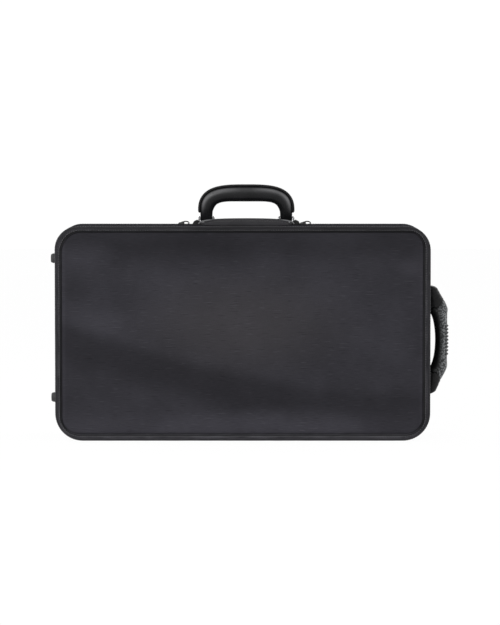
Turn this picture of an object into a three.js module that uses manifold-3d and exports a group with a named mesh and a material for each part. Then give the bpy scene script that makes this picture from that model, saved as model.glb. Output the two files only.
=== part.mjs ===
import * as THREE from 'three';
import { mergeVertices } from 'three/addons/utils/BufferGeometryUtils.js';
import Module from 'manifold-3d';

const wasm = await Module();
wasm.setup();

// Basset horn case: a rigid two-part shell in a sewn nylon cover, closed by two zips.
// It stands on its long bottom edge, lid towards -Y, side handle at +X. Millimetres.

// Body
const bodyWidth = 640;
const bodyHeight = 366;
const bodyDepth = 160;
const lidDepth = 70;
const cornerRadius = 47;
const smallestRadius = 4;
const edgeRoll = 9.5;
const coverThickness = 1.6;
const shellWall = 6;
const fitGap = 0.3;
const cutOverrun = 5;

// Front panel and piping
const panelCrown = 2.5;
const pipingRadius = 1.5;
const grooveWidth = 0.8;

// Zips and fabric hinge
const zipTopGap = 1;
const zipHalfWidth = 9;
const zipCoilHalf = 3.2;
const zipCoilRise = 0.9;
const zipTapeThickness = 1.1;
const hingeCornerReach = 14;
const stopLength = 5;

// Top handle
const handleOffset = 6;
const handleLegSpacing = 137.6;
const handleRise = 43;
const handleLegPower = 3.2;
const handleTopPower = 4.6;
const gripLegHalfWidth = 10.3;
const gripTopHalfWidth = 12.4;
const gripEndHalfDepth = 5.8;
const gripTopHalfDepth = 12;
const spineThickness = 3.4;
const spineHalfDepth = 8;
const spineStart = 9.3;
const pivotRise = 11;
const pinRadius = 2.2;
const pinHoleGap = 0.4;
const earThickness = 1.8;
const earRadius = 4.2;
const earGap = 0.6;
const pinHeadLength = 1.5;
const bracketThickness = 1.8;
const bracketHalfDepth = 10;
const handleSetback = 20;

// Handle base on the rear half and the tongue on the lid
const saddleHalfWidth = 94;
const saddleHeight = 10;
const saddleFloor = 2.2;
const saddleShoulder = 9.2;
const saddleFrontSetback = 7.8;
const saddleBackSetback = 42;
const tongueInset = 12;
const tongueHeight = 10.4;
const tongueEdge = 0.9;
const tongueBindingRadius = 1.3;
const handlePlateThickness = 2;
const screwRadius = 2;
const screwHeadRadius = 3.6;
const screwHeadHeight = 1.4;

// Zip sliders and their pull rings
const sliderLength = 12;
const sliderHalfWidth = 4.5;
const sliderEndHalfWidth = 3;
const sliderThickness = 2.2;
const crownReach = 4;
const crownPost = 1.2;
const crownHeight = 5.1;
const leftSliderTravel = 17;
const rightSliderTravel = 2;
const ringRadius = 5.7;
const ringWire = 1.1;
const ringLean = 0.26;

// Side handle
const sideHandleLength = 188;
const sideHandleCentre = 166;
const sideHandleProud = 35.5;
const sideHandleGap = 13.9;
const sideGripLength = 109;
const sideGripHalfDepth = 16;
const sideEndHalfDepth = 19;
const sideNotchRise = 16;
const sideHandleDepthShare = 4 / 9;
const ridgeCount = 9;
const ridgePitch = 6.1;
const ridgeHeight = 2;
const sidePlateSize = 34;

// Feet on the left end
const footRadius = 8.4;
const footHeight = 7.3;
const footDishRadius = 3.4;
const footDishDepth = 2;
const footUpperDrop = 55;
const footLowerRise = 73;
const footSetback = 30;

// Fitted inserts
const lowerRowHeight = 100;
const middleRowHeight = 92;
const compartmentBlockWidth = 330;
const insertEndWall = 22;
const lowerJointRadius = 34;
const upperJointRadius = 29;
const mouthpieceRadius = 20;
const mouthpieceLength = 120;
const bellRadius = 58;
const bellThroatRadius = 24;
const bellSink = 12;
const neckRadius = 17;
const compartmentWall = 20;
const compartmentDepth = 58;
const compartmentDivider = 14;
const coverPadThickness = 9;
const coverLedge = 7;
const tabWidth = 24;
const tabLength = 26;
const tabThickness = 1.6;
const lidPadThickness = 12;
const liningWall = 5;

// Facets
const cornerSteps = 6;
const rollSteps = 3;
const roundSides = 16;
const smallSides = 8;
const archSteps = 24;
const tongueSteps = 14;
const sideGripSides = 12;
const mergeTolerance = 1e-4;

// Places worked out from the sizes above
const halfWidth = bodyWidth / 2;
const frontY = -bodyDepth / 2;
const backY = bodyDepth / 2;
const partingY = frontY + lidDepth;
const shellInset = coverThickness + fitGap;
const innerInset = shellInset + shellWall;
const insertInset = innerInset + fitGap;
const pivotZ = bodyHeight + pivotRise;
const insideTop = bodyHeight - innerInset;
const insertBack = backY - insertInset;
const insertFace = partingY + fitGap;
const legX = handleLegSpacing / 2;
const handleY = partingY + handleSetback;
const saddleFront = partingY + saddleFrontSetback;
const saddleBack = partingY + saddleBackSetback;
const sideHandleY = partingY + sideHandleDepthShare * (backY - partingY);
const tongueHalfWidth = saddleHalfWidth - tongueInset;
const zipTopReach = saddleHalfWidth + zipTopGap;
const LID = -1;
const BASE = 1;

function finish(color, roughness, metalness = 0) {
  return new THREE.MeshStandardMaterial({ color, roughness, metalness });
}

const nylon = () => finish(0x38363a, 0.85);
const bindingNylon = () => finish(0x323135, 0.7);
const zipNylon = () => finish(0x1c1c1f, 0.75);
const rubber = () => finish(0x3f4345, 0.6);
const darkRubber = () => finish(0x1f2022, 0.55);
const plush = () => finish(0x23252e, 0.95);
const shellPlastic = () => finish(0x18181a, 0.6);
const steel = () => finish(0xb4b4b8, 0.3, 1);
const ribbon = () => finish(0x5a1d24, 0.8);

function part(name, geometry, material) {
  const mesh = new THREE.Mesh(geometry, material);
  mesh.name = name;
  return mesh;
}

function toSolid(geometry) {
  const bare = geometry.clone();
  bare.deleteAttribute('normal');
  bare.deleteAttribute('uv');
  const merged = mergeVertices(bare, mergeTolerance);
  const mesh = new wasm.Mesh({
    numProp: 3,
    vertProperties: new Float32Array(merged.attributes.position.array),
    triVerts: new Uint32Array(merged.index.array),
  });
  return new wasm.Manifold(mesh);
}

function toGeometry(manifold) {
  const mesh = manifold.getMesh();
  const geometry = new THREE.BufferGeometry();
  geometry.setAttribute('position', new THREE.BufferAttribute(new Float32Array(mesh.vertProperties), 3));
  geometry.setIndex(new THREE.BufferAttribute(new Uint32Array(mesh.triVerts), 1));
  geometry.computeVertexNormals();
  return geometry;
}

function cut(geometry, cutters) {
  let solid = toSolid(geometry);
  for (const cutter of cutters) {
    solid = solid.subtract(toSolid(cutter));
  }
  return toGeometry(solid);
}

function join(geometries) {
  return toGeometry(geometries.map(toSolid).reduce((whole, piece) => whole.add(piece)));
}

function overlapOf(first, second) {
  return toGeometry(toSolid(first).intersect(toSolid(second)));
}

// Box given by its low and high corners
function block(low, high) {
  const geometry = new THREE.BoxGeometry(high[0] - low[0], high[1] - low[1], high[2] - low[2]);
  return geometry.translate((low[0] + high[0]) / 2, (low[1] + high[1]) / 2, (low[2] + high[2]) / 2);
}

// Triangles that close a flat ring, wound the way the ring runs
function capTriangles(ring) {
  const normal = new THREE.Vector3();
  ring.forEach((point, i) => {
    const next = ring[(i + 1) % ring.length];
    normal.x += (point.y - next.y) * (point.z + next.z);
    normal.y += (point.z - next.z) * (point.x + next.x);
    normal.z += (point.x - next.x) * (point.y + next.y);
  });
  normal.normalize();
  const turn = new THREE.Quaternion().setFromUnitVectors(normal, new THREE.Vector3(0, 0, 1));
  const flat = ring.map((point) => {
    const turned = point.clone().applyQuaternion(turn);
    return new THREE.Vector2(turned.x, turned.y);
  });
  return THREE.ShapeUtils.triangulateShape(flat, []).map(([a, b, c]) => {
    const area = (flat[b].x - flat[a].x) * (flat[c].y - flat[a].y)
      - (flat[c].x - flat[a].x) * (flat[b].y - flat[a].y);
    return area > 0 ? [a, b, c] : [a, c, b];
  });
}

// Closed skin over rings of points. A looped skin joins its last ring to its first.
function skin(rings, looped = false) {
  const count = rings[0].length;
  const positions = rings.flat().flatMap((point) => [point.x, point.y, point.z]);
  let triangles = [];
  const bands = looped ? rings.length : rings.length - 1;
  for (let k = 0; k < bands; k += 1) {
    const here = k * count;
    const there = ((k + 1) % rings.length) * count;
    for (let i = 0; i < count; i += 1) {
      const next = (i + 1) % count;
      triangles.push([here + i, here + next, there + next], [here + i, there + next, there + i]);
    }
  }
  if (!looped) {
    const last = (rings.length - 1) * count;
    capTriangles(rings[0]).forEach(([a, b, c]) => triangles.push([a, c, b]));
    capTriangles(rings[rings.length - 1]).forEach(([a, b, c]) => triangles.push([last + a, last + b, last + c]));
  }
  const points = rings.flat();
  const volume = triangles.reduce((sum, [a, b, c]) => (
    sum + points[a].dot(new THREE.Vector3().crossVectors(points[b], points[c]))
  ), 0);
  if (volume < 0) {
    triangles = triangles.map(([a, b, c]) => [a, c, b]);
  }
  const geometry = new THREE.BufferGeometry();
  geometry.setAttribute('position', new THREE.Float32BufferAttribute(positions, 3));
  geometry.setIndex(triangles.flat());
  geometry.computeVertexNormals();
  return geometry;
}

// Stations round the case outline, seen from the front, drawn in by an inset
function outline(inset = 0) {
  const radius = Math.max(cornerRadius - inset, smallestRadius);
  const centreX = halfWidth - inset - radius;
  const lowZ = inset + radius;
  const highZ = bodyHeight - inset - radius;
  const corners = [[centreX, lowZ, -1], [centreX, highZ, 0], [-centreX, highZ, 1], [-centreX, lowZ, 2]];
  return corners.flatMap(([x, z, quarter]) => (
    Array.from({ length: cornerSteps + 1 }, (_, i) => {
      const angle = (quarter + i / cornerSteps) * Math.PI / 2;
      const out = new THREE.Vector3(Math.cos(angle), 0, Math.sin(angle));
      return { point: new THREE.Vector3(x, 0, z).addScaledVector(out, radius), out };
    })
  ));
}

function outlineRing(inset, y) {
  return outline(inset).map(({ point }) => new THREE.Vector3(point.x, y, point.z));
}

// Solid whose rings step through [inset, y] pairs, capped at both ends
function wrap(profile) {
  return skin(profile.map(([inset, y]) => outlineRing(inset, y)));
}

// Band round the whole outline with a closed [inset, y] section
function wrapBand(section) {
  return skin(section.map(([inset, y]) => outlineRing(inset, y)), true);
}

// Quarter roll of an edge from the side wall to the face, as [inset, y] pairs
function edgeArc(inset, faceY, side, radius) {
  return Array.from({ length: rollSteps + 1 }, (_, i) => {
    const angle = (i / rollSteps) * Math.PI / 2;
    const drawnIn = inset + radius * (1 - Math.cos(angle));
    return [drawnIn, faceY - side * radius * (1 - Math.sin(angle))];
  });
}

// Rigid tray of one half, open at the parting plane
function shellHalf(side) {
  const face = side === LID ? frontY + shellInset : backY - shellInset;
  const rim = partingY + side * fitGap;
  const roll = edgeRoll - shellInset;
  const outside = edgeArc(shellInset, face, side, roll).reverse();
  const inside = edgeArc(innerInset, face - side * shellWall, side, roll);
  return wrap([...outside, [shellInset, rim], [innerInset, rim], ...inside]);
}

// Nylon band round the side walls of one half
function gusset(side) {
  const face = side === LID ? frontY : backY;
  const inner = partingY + side * (zipHalfWidth + fitGap);
  const outer = face - side * (edgeRoll + fitGap);
  return wrapBand([[0, inner], [0, outer], [coverThickness, outer], [coverThickness, inner]]);
}

// Stitched tape over the rolled edge of one half
function edgeBinding(side) {
  const face = side === LID ? frontY : backY;
  const outside = edgeArc(0, face, side, edgeRoll);
  const inside = edgeArc(coverThickness, face - side * coverThickness, side, edgeRoll - coverThickness);
  return wrapBand([...outside, ...inside.reverse()]);
}

const pipingInset = edgeRoll + grooveWidth + pipingRadius;
const panelInset = pipingInset + pipingRadius + fitGap;

function edgePiping(side) {
  const face = side === LID ? frontY : backY;
  const centreY = face - side * (coverThickness - pipingRadius);
  const section = Array.from({ length: smallSides }, (_, i) => {
    const angle = (i / smallSides) * Math.PI * 2;
    return [pipingInset + pipingRadius * Math.cos(angle), centreY + pipingRadius * Math.sin(angle)];
  });
  return wrapBand(section);
}

// Padded front panel, crowned towards its middle
function frontPanel() {
  const reachShares = [0, 0.12, 0.3, 0.6, 0.9];
  const reach = bodyHeight / 2 - panelInset;
  const crowned = reachShares.map((share) => (
    [panelInset + share * reach, frontY - panelCrown * (1 - (1 - share) ** 2)]
  ));
  return wrap([[panelInset, frontY + coverThickness], ...crowned]);
}

function backPanel() {
  return wrap([[panelInset, backY - coverThickness], [panelInset, backY]]);
}

// Angle above straight down, round a bottom corner, where the hinge strip gives way to the zip
const hingeEndAngle = hingeCornerReach / cornerRadius;
const stopStartAngle = hingeEndAngle + fitGap / cornerRadius;
const stopEndAngle = stopStartAngle + stopLength / cornerRadius;
const zipStartAngle = stopEndAngle + fitGap / cornerRadius;

// Station on a bottom corner, left or right, at an angle up from straight down
function bottomStation(hand, angle) {
  const out = new THREE.Vector3(hand * Math.sin(angle), 0, -Math.cos(angle));
  const centre = new THREE.Vector3(hand * (halfWidth - cornerRadius), 0, cornerRadius);
  return { point: centre.addScaledVector(out, cornerRadius), out };
}

// Stations of one zip run: round the bottom corner, up the side, round the top corner, along the top
function zipStations(hand) {
  const start = bottomStation(hand, zipStartAngle);
  const stations = outline().filter(({ point }) => (
    Math.sign(point.x) === hand && point.z > start.point.z + fitGap
  ));
  const run = hand > 0 ? stations : stations.reverse();
  const endX = handleOffset + hand * zipTopReach;
  const end = { point: new THREE.Vector3(endX, 0, bodyHeight), out: new THREE.Vector3(0, 0, 1) };
  return [start, ...run, end];
}

// Solid of an [outwards, y] section carried along stations of the outline
function runAlong(stations, section) {
  return skin(stations.map(({ point, out }) => (
    section.map(([outwards, y]) => new THREE.Vector3(point.x, y, point.z).addScaledVector(out, outwards))
  )));
}

// Half of a zip: the woven tape and the coil along its inner edge
function zipHalf(hand, side) {
  const near = partingY + side * fitGap;
  const coil = partingY + side * zipCoilHalf;
  const coilTop = partingY + side * (zipCoilHalf + fitGap) / 2;
  const far = partingY + side * zipHalfWidth;
  const under = -coverThickness;
  const tapeTop = under + zipTapeThickness;
  return runAlong(zipStations(hand), [
    [under, near], [zipCoilRise / 2, near], [zipCoilRise, coilTop], [zipCoilRise / 2, coil],
    [tapeTop, coil], [tapeTop, far], [under, far],
  ]);
}

// Metal stop crimped on the coil's lower end
function zipStop(hand) {
  const near = partingY + fitGap;
  const far = partingY + zipCoilHalf;
  const stations = [stopStartAngle, stopEndAngle].map((angle) => bottomStation(hand, angle));
  return runAlong(stations, [
    [-coverThickness, near], [zipCoilRise, near], [zipCoilRise, far], [-coverThickness, far],
  ]);
}

// Half of the sewn hinge strip under the parting line, turned up a little at both corners
function hingeStrip(side) {
  const near = partingY + side * fitGap;
  const far = partingY + side * zipHalfWidth;
  const angles = [hingeEndAngle, 0];
  const left = angles.map((angle) => bottomStation(-1, angle));
  const right = angles.map((angle) => bottomStation(1, angle)).reverse();
  return runAlong([...left, ...right], [[0, near], [0, far], [-coverThickness, far], [-coverThickness, near]]);
}

// Pins, holes and screws: a cylinder along an axis through a centre
function rod(axis, radius, length, centre, sides = roundSides) {
  const geometry = new THREE.CylinderGeometry(radius, radius, length, sides);
  if (axis === 'x') {
    geometry.rotateZ(-Math.PI / 2);
  }
  if (axis === 'z') {
    geometry.rotateX(Math.PI / 2);
  }
  return geometry.translate(...centre);
}

// Centre line of the top handle above its pivots, from the left leg over to the right
function handleArch(steps = archSteps) {
  return Array.from({ length: steps + 1 }, (_, i) => {
    const angle = (i / steps) * Math.PI;
    const across = Math.abs(Math.cos(angle)) ** (2 / handleLegPower);
    const up = Math.sin(angle) ** (2 / handleTopPower);
    return new THREE.Vector3(-Math.sign(Math.cos(angle)) * across * legX, 0, up * handleRise);
  });
}

// Rings round the handle's centre line, each a rounded section that widens towards the top
function handleRings(line, widthAt, depthAt, shiftAt, sides) {
  return line.map((point, i) => {
    const before = line[Math.max(i - 1, 0)];
    const after = line[Math.min(i + 1, line.length - 1)];
    const along = new THREE.Vector3().subVectors(after, before).normalize();
    const outwards = new THREE.Vector3(-along.z, 0, along.x);
    const rise = Math.min(Math.max(point.z / handleRise, 0), 1);
    const centre = point.clone().addScaledVector(outwards, shiftAt(rise));
    return Array.from({ length: sides }, (_, j) => {
      const angle = ((j + 0.5) / sides) * Math.PI * 2;
      const ring = centre.clone().addScaledVector(outwards, widthAt(rise) * roundedShare(Math.cos(angle)));
      ring.y += depthAt(rise) * roundedShare(Math.sin(angle));
      return ring;
    });
  });
}

// Fills a circle's section out towards a rounded rectangle
function roundedShare(value) {
  const fillShare = 0.7;
  return Math.sign(value) * Math.abs(value) ** fillShare;
}

function mix(start, end, share) {
  return start + (end - start) * share;
}

// Moulded handle: two flat legs that swell into a thick grip, with an eye through each foot
function handleGrip() {
  const footAngles = [0.25, Math.PI / 4];
  const swellPower = 0.8;
  const legs = footAngles.map((angle) => new THREE.Vector3(-legX, 0, -gripEndHalfDepth * Math.cos(angle)));
  const otherLegs = legs.map((point) => new THREE.Vector3(legX, 0, point.z)).reverse();
  const widthAt = (rise) => mix(gripLegHalfWidth, gripTopHalfWidth, rise);
  const depthAt = (rise) => mix(gripEndHalfDepth, gripTopHalfDepth, rise ** swellPower);
  const rings = handleRings([...legs, ...handleArch(), ...otherLegs], widthAt, depthAt, () => 0, roundSides);
  footAngles.forEach((angle, i) => {
    for (const ring of [rings[i], rings[rings.length - 1 - i]]) {
      ring.forEach((point) => { point.y *= Math.sin(angle); });
    }
  });
  const eyes = [-legX, legX].map((x) => (
    rod('x', pinRadius + pinHoleGap, 2 * (gripLegHalfWidth + cutOverrun), [x, 0, 0])
  ));
  return cut(skin(rings), eyes);
}

// Strap set over the outside of the grip, with bevelled ends above the pivots
function handleSpine() {
  const arch = handleArch().filter((point) => point.z > spineStart);
  const line = [new THREE.Vector3(-legX, 0, spineStart), ...arch, new THREE.Vector3(legX, 0, spineStart)];
  const endShare = 0.45;
  const shiftAt = (rise) => mix(gripLegHalfWidth, gripTopHalfWidth, rise) + fitGap + spineThickness / 2;
  const rings = handleRings(line, () => spineThickness / 2, () => spineHalfDepth, shiftAt, smallSides);
  for (const end of [rings[0], rings[rings.length - 1]]) {
    const centre = end.reduce((sum, point) => sum.add(point), new THREE.Vector3()).divideScalar(end.length);
    end.forEach((point) => { point.x = mix(centre.x, point.x, endShare); });
  }
  return skin(rings);
}

const earReach = gripLegHalfWidth + earGap + earThickness;
const plateLow = saddleFloor + 2 * fitGap;

// Steel bracket of one leg: a plate with two ears that hold the pin
function handleBracket() {
  const low = plateLow - pivotRise;
  const top = low + bracketThickness;
  const reach = earReach + earRadius / 2;
  const plate = block([-reach, -bracketHalfDepth, low], [reach, bracketHalfDepth, top]);
  const ears = [-1, 1].flatMap((hand) => {
    const middle = hand * (earReach - earThickness / 2);
    const post = block(
      [middle - earThickness / 2, -earRadius, top - bracketThickness / 2],
      [middle + earThickness / 2, earRadius, 0],
    );
    return [post, rod('x', earRadius, earThickness, [middle, 0, 0])];
  });
  const eye = rod('x', pinRadius + pinHoleGap, reach * 2, [0, 0, 0]);
  const holes = screwPlaces().map(([x, y]) => screwBody(fitGap).translate(x, y, -pivotRise));
  return cut(join([plate, ...ears]), [eye, ...holes]);
}

// Screws of one bracket, either side of its leg
function screwPlaces() {
  const reach = bracketHalfDepth - screwHeadRadius - fitGap;
  return [[0, -reach], [0, reach]];
}

// Countersunk screw from the bracket's top down into the backing plate, or its hole with room round it
function screwBody(room = 0) {
  const top = plateLow + bracketThickness;
  const neck = top - screwHeadHeight;
  const tip = -(innerInset + 2 * fitGap + handlePlateThickness);
  const profile = [
    [0, tip], [screwRadius + room, tip], [screwRadius + room, neck],
    [screwHeadRadius + room, top], [0, top],
  ];
  if (room > 0) {
    profile.splice(4, 0, [screwHeadRadius + room, top + cutOverrun]);
    profile[5] = [0, top + cutOverrun];
  }
  const geometry = new THREE.LatheGeometry(profile.map(([r, z]) => new THREE.Vector2(r, z)), smallSides);
  return geometry.rotateX(Math.PI / 2);
}

function pivotPin() {
  return rod('x', pinRadius, 2 * (earReach + pinHeadLength), [0, 0, 0]);
}

// Handle base across the top of the rear half, notched for the two legs
function saddleProfile() {
  const notchOuter = saddleHalfWidth - saddleShoulder;
  const notchInner = 2 * legX - notchOuter;
  const floor = fitGap + saddleFloor;
  const shoulderShare = 0.62;
  const right = [
    [notchInner - saddleFloor, saddleHeight], [notchInner, saddleHeight - saddleFloor],
    [notchInner, floor], [notchOuter, floor], [notchOuter, saddleHeight - saddleFloor / 2],
    [mix(notchOuter, saddleHalfWidth, shoulderShare), saddleHeight * shoulderShare], [saddleHalfWidth, fitGap],
  ];
  const left = right.map(([x, z]) => [-x, z]).reverse();
  return [...left, ...right];
}

function handleSaddle() {
  const rings = [saddleFront, saddleBack].map((y) => (
    saddleProfile().map(([x, z]) => new THREE.Vector3(handleOffset + x, y, bodyHeight + z))
  ));
  return cut(skin(rings), handleScrewHoles());
}

function handleScrewHoles() {
  const holeLength = 2 * (saddleHeight + innerInset);
  return bracketXs().flatMap((legPlace) => screwPlaces().map(([x, y]) => (
    rod('z', screwRadius + fitGap, holeLength, [legPlace + x, handleY + y, bodyHeight])
  )));
}

function bracketXs() {
  return [handleOffset - legX, handleOffset + legX];
}

// Arch of the tongue at one place along the depth, from its left foot to its right
function tongueArch(halfWidthHere, height, y) {
  const power = 3.4;
  return Array.from({ length: tongueSteps + 1 }, (_, i) => {
    const angle = Math.PI * (1 - i / tongueSteps);
    const x = Math.sign(Math.cos(angle)) * Math.abs(Math.cos(angle)) ** (2 / power);
    const z = Math.abs(Math.sin(angle)) ** (2 / power);
    return new THREE.Vector3(handleOffset + x * halfWidthHere, y, bodyHeight + fitGap + z * height);
  });
}

const tongueBack = saddleFront - fitGap - 2 * tongueBindingRadius;
const tongueFront = frontY + edgeRoll + fitGap;

// Padded tongue sewn to the lid, rising from the front edge to the handle
function handleTongue() {
  const depthShares = [0, 0.25, 0.5, 0.75, 1];
  const narrowShare = 0.72;
  const rings = depthShares.map((share) => {
    const wide = tongueHalfWidth * mix(narrowShare, 1, Math.sqrt(share));
    const high = mix(tongueEdge, tongueHeight - tongueEdge, Math.sin(share * Math.PI / 2));
    return tongueArch(wide, high, mix(tongueFront, tongueBack, share));
  });
  return skin(rings);
}

// Bound edge along the back of the tongue
function tongueBinding() {
  const y = tongueBack + fitGap + tongueBindingRadius;
  const line = tongueArch(tongueHalfWidth, tongueHeight - tongueBindingRadius, y).slice(1, -1);
  const rings = line.map((point, i) => {
    const before = line[Math.max(i - 1, 0)];
    const after = line[Math.min(i + 1, line.length - 1)];
    const along = new THREE.Vector3().subVectors(after, before).normalize();
    const up = new THREE.Vector3(-along.z, 0, along.x);
    return Array.from({ length: smallSides }, (_, j) => {
      const angle = (j / smallSides) * Math.PI * 2;
      const ring = point.clone().addScaledVector(up, tongueBindingRadius * Math.cos(angle));
      ring.y += tongueBindingRadius * Math.sin(angle);
      return ring;
    });
  });
  return skin(rings);
}

// Zip slider: a tapered plate with a crown bar that the pull ring hangs on
function zipSlider() {
  const low = zipCoilRise + fitGap;
  const top = low + sliderThickness;
  const half = sliderLength / 2;
  const shape = new THREE.Shape([
    new THREE.Vector2(-half, -sliderEndHalfWidth), new THREE.Vector2(0, -sliderHalfWidth),
    new THREE.Vector2(half, -sliderEndHalfWidth), new THREE.Vector2(half, sliderEndHalfWidth),
    new THREE.Vector2(0, sliderHalfWidth), new THREE.Vector2(-half, sliderEndHalfWidth),
  ]);
  const plate = new THREE.ExtrudeGeometry(shape, { depth: sliderThickness, bevelEnabled: false });
  plate.translate(0, 0, low);
  const crownTop = top + crownHeight;
  const posts = [-crownReach, crownReach].map((x) => block(
    [x - crownPost / 2, -crownPost, top - sliderThickness / 2], [x + crownPost / 2, crownPost, crownTop],
  ));
  const bar = block(
    [-crownReach, -crownPost, crownTop - crownPost], [crownReach, crownPost, crownTop],
  );
  return join([plate, ...posts, bar]);
}

const ringZ = zipCoilRise + fitGap + sliderThickness + crownHeight - crownPost - 2 * fitGap - ringWire;

function pullRing() {
  const geometry = new THREE.TorusGeometry(ringRadius, ringWire, smallSides, roundSides);
  return geometry.translate(ringRadius, 0, 0).rotateX(ringLean);
}

// Side handle, measured outwards from the end wall at a height above or below its middle
function sideHandleOuter(height) {
  const shoulderPower = 4;
  const bluntShare = 0.98;
  const share = bluntShare * Math.min(Math.abs(height) / (sideHandleLength / 2), 1);
  return sideHandleProud * (1 - share ** shoulderPower) ** (2 / 3);
}

function sideHandleInner(height) {
  const gapShare = 0.92;
  const gapHalf = gapShare * sideGripLength / 2;
  const share = Math.abs(height) / gapHalf;
  return share >= 1 ? fitGap : fitGap + sideHandleGap * Math.sqrt(1 - share ** 2);
}

// Rounded ring of the side handle; its outer side is drawn towards the near end by the notch
function sideRing(height, innerAt, rise, halfDepth, notch) {
  const notchShare = 0.45;
  return Array.from({ length: sideGripSides }, (_, j) => {
    const angle = ((j + 0.5) / sideGripSides) * Math.PI * 2;
    const across = roundedShare(Math.cos(angle));
    const drawn = Math.max((across + 1) / 2 - notchShare, 0) / (1 - notchShare);
    const here = height + Math.sign(height) * notch * drawn;
    const inner = innerAt(here);
    const outer = sideHandleOuter(here) + rise;
    return new THREE.Vector3(
      halfWidth + (inner + outer) / 2 + across * (outer - inner) / 2,
      sideHandleY + halfDepth * roundedShare(Math.sin(angle)),
      sideHandleCentre + here,
    );
  });
}

// Ribbed side grip: ridges run across its outer face, and its outer tips reach out over both ends
function sideGrip() {
  const half = sideGripLength / 2;
  const ridgeHalf = (ridgeCount * ridgePitch) / 2;
  const plainShares = [-1, -0.9, -0.78, -0.66, -0.56];
  const notchStartShare = 0.66;
  const notchStart = notchStartShare * half;
  const plain = plainShares.map((share) => share * half);
  const ridged = Array.from({ length: ridgeCount * 2 + 1 }, (_, i) => -ridgeHalf + (i * ridgePitch) / 2);
  const heights = [...plain, ...ridged, ...plain.map((height) => -height).reverse()];
  return skin(heights.map((height, i) => {
    const onRidge = i >= plain.length && i < plain.length + ridged.length && (i - plain.length) % 2 === 1;
    const notch = sideNotchRise * Math.max((Math.abs(height) - notchStart) / (half - notchStart), 0);
    return sideRing(height, sideHandleInner, onRidge ? ridgeHeight : 0, sideGripHalfDepth, notch);
  }));
}

// Moulded end of the side handle, from the end wall out to the grip, notched round the grip's tip
function sideHandleEnd(hand) {
  const start = sideGripLength / 2 + fitGap;
  const end = sideHandleLength / 2;
  const reachShares = [0, 0.3, 0.6, 0.85, 1];
  const notchShares = [1, 0.5, 0, 0, 0];
  return skin(reachShares.map((share, i) => {
    const halfDepth = i === 0 ? sideGripHalfDepth : sideEndHalfDepth;
    return sideRing(hand * mix(start, end, share), () => fitGap, 0, halfDepth, notchShares[i] * sideNotchRise);
  }));
}

function sideAnchorHeights() {
  const reach = (sideGripLength / 2 + sideHandleLength / 2) / 2;
  return [sideHandleCentre + reach, sideHandleCentre - reach];
}

// Backing plate behind each end of the side handle
function sidePlate(z) {
  const x = halfWidth - innerInset - fitGap;
  const reach = sidePlateSize / 2;
  return block(
    [x - handlePlateThickness, sideHandleY - reach, z - reach],
    [x, sideHandleY + reach, z + reach],
  );
}

function sideRivet() {
  const inner = -(shellInset + shellWall + 2 * fitGap + handlePlateThickness);
  return rod('x', screwRadius, -inner - fitGap, [(inner - fitGap) / 2, 0, 0], smallSides);
}

function sideRivetHoles() {
  const holeLength = 2 * (innerInset + cutOverrun);
  return sideAnchorHeights().map((z) => (
    rod('x', screwRadius + fitGap, holeLength, [halfWidth, sideHandleY, z], smallSides)
  ));
}

// Domed foot with a dished middle, turned about its own axis
function foot() {
  const wallShare = 0.4;
  const shoulderShare = 0.75;
  const dishFloorShare = 0.7;
  const profile = [
    [0, 0], [footRadius, 0], [footRadius, wallShare * footHeight], [shoulderShare * footRadius, footHeight],
    [footDishRadius, footHeight], [dishFloorShare * footDishRadius, footHeight - footDishDepth],
    [0, footHeight - footDishDepth],
  ];
  const geometry = new THREE.LatheGeometry(profile.map(([r, y]) => new THREE.Vector2(r, y)), roundSides);
  return geometry.rotateZ(Math.PI / 2);
}

// Handle backing plate under the top wall of the rear shell
function handlePlate() {
  const top = insideTop - fitGap;
  const low = top - handlePlateThickness;
  const plate = block(
    [handleOffset - saddleHalfWidth, partingY + shellWall, low],
    [handleOffset + saddleHalfWidth, saddleBack, top],
  );
  return cut(plate, handleScrewHoles());
}

// Space left in the inserts for the backing plates, with room round each
function plateNotches() {
  const top = block(
    [handleOffset - saddleHalfWidth - fitGap, insertFace - cutOverrun, insideTop - 2 * fitGap - handlePlateThickness],
    [handleOffset + saddleHalfWidth + fitGap, saddleBack + fitGap, bodyHeight],
  );
  const reach = sidePlateSize / 2 + fitGap;
  const sides = sideAnchorHeights().map((z) => block(
    [halfWidth - innerInset - 2 * fitGap - handlePlateThickness, sideHandleY - reach, z - reach],
    [halfWidth, sideHandleY + reach, z + reach],
  ));
  return [top, ...sides];
}

// Piece of the fitted insert between two heights and two places across
function insertBlock(lowX, highX, lowZ, highZ) {
  const roll = edgeRoll - shellInset;
  const whole = wrap([
    [insertInset, insertFace],
    [insertInset, insertBack - roll],
    [insertInset + roll, insertBack],
  ]);
  return overlapOf(whole, block([lowX, frontY, lowZ], [highX, backY + cutOverrun, highZ]));
}

// Round-bottomed trough along X, opening at the insert's face
function trough(lowX, highX, z, radius, sink) {
  const reach = (highX - lowX) / 2;
  const shape = new THREE.Shape();
  shape.moveTo(-reach, -radius);
  shape.lineTo(reach, -radius);
  shape.lineTo(reach, radius);
  shape.lineTo(-reach, radius);
  const slot = new THREE.ExtrudeGeometry(shape, { depth: sink + cutOverrun, bevelEnabled: false });
  slot.rotateX(Math.PI / 2);
  slot.translate((lowX + highX) / 2, insertFace + sink, z);
  const bottom = rod('x', radius, highX - lowX, [(lowX + highX) / 2, insertFace + sink, z]);
  return join([slot, bottom]);
}

const innerHalf = halfWidth - insertInset;
const rowOneTop = insertInset + lowerRowHeight;
const rowTwoTop = rowOneTop + middleRowHeight;
const rowThreeTop = bodyHeight - insertInset;
const splitX = -innerHalf + compartmentBlockWidth;

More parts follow.
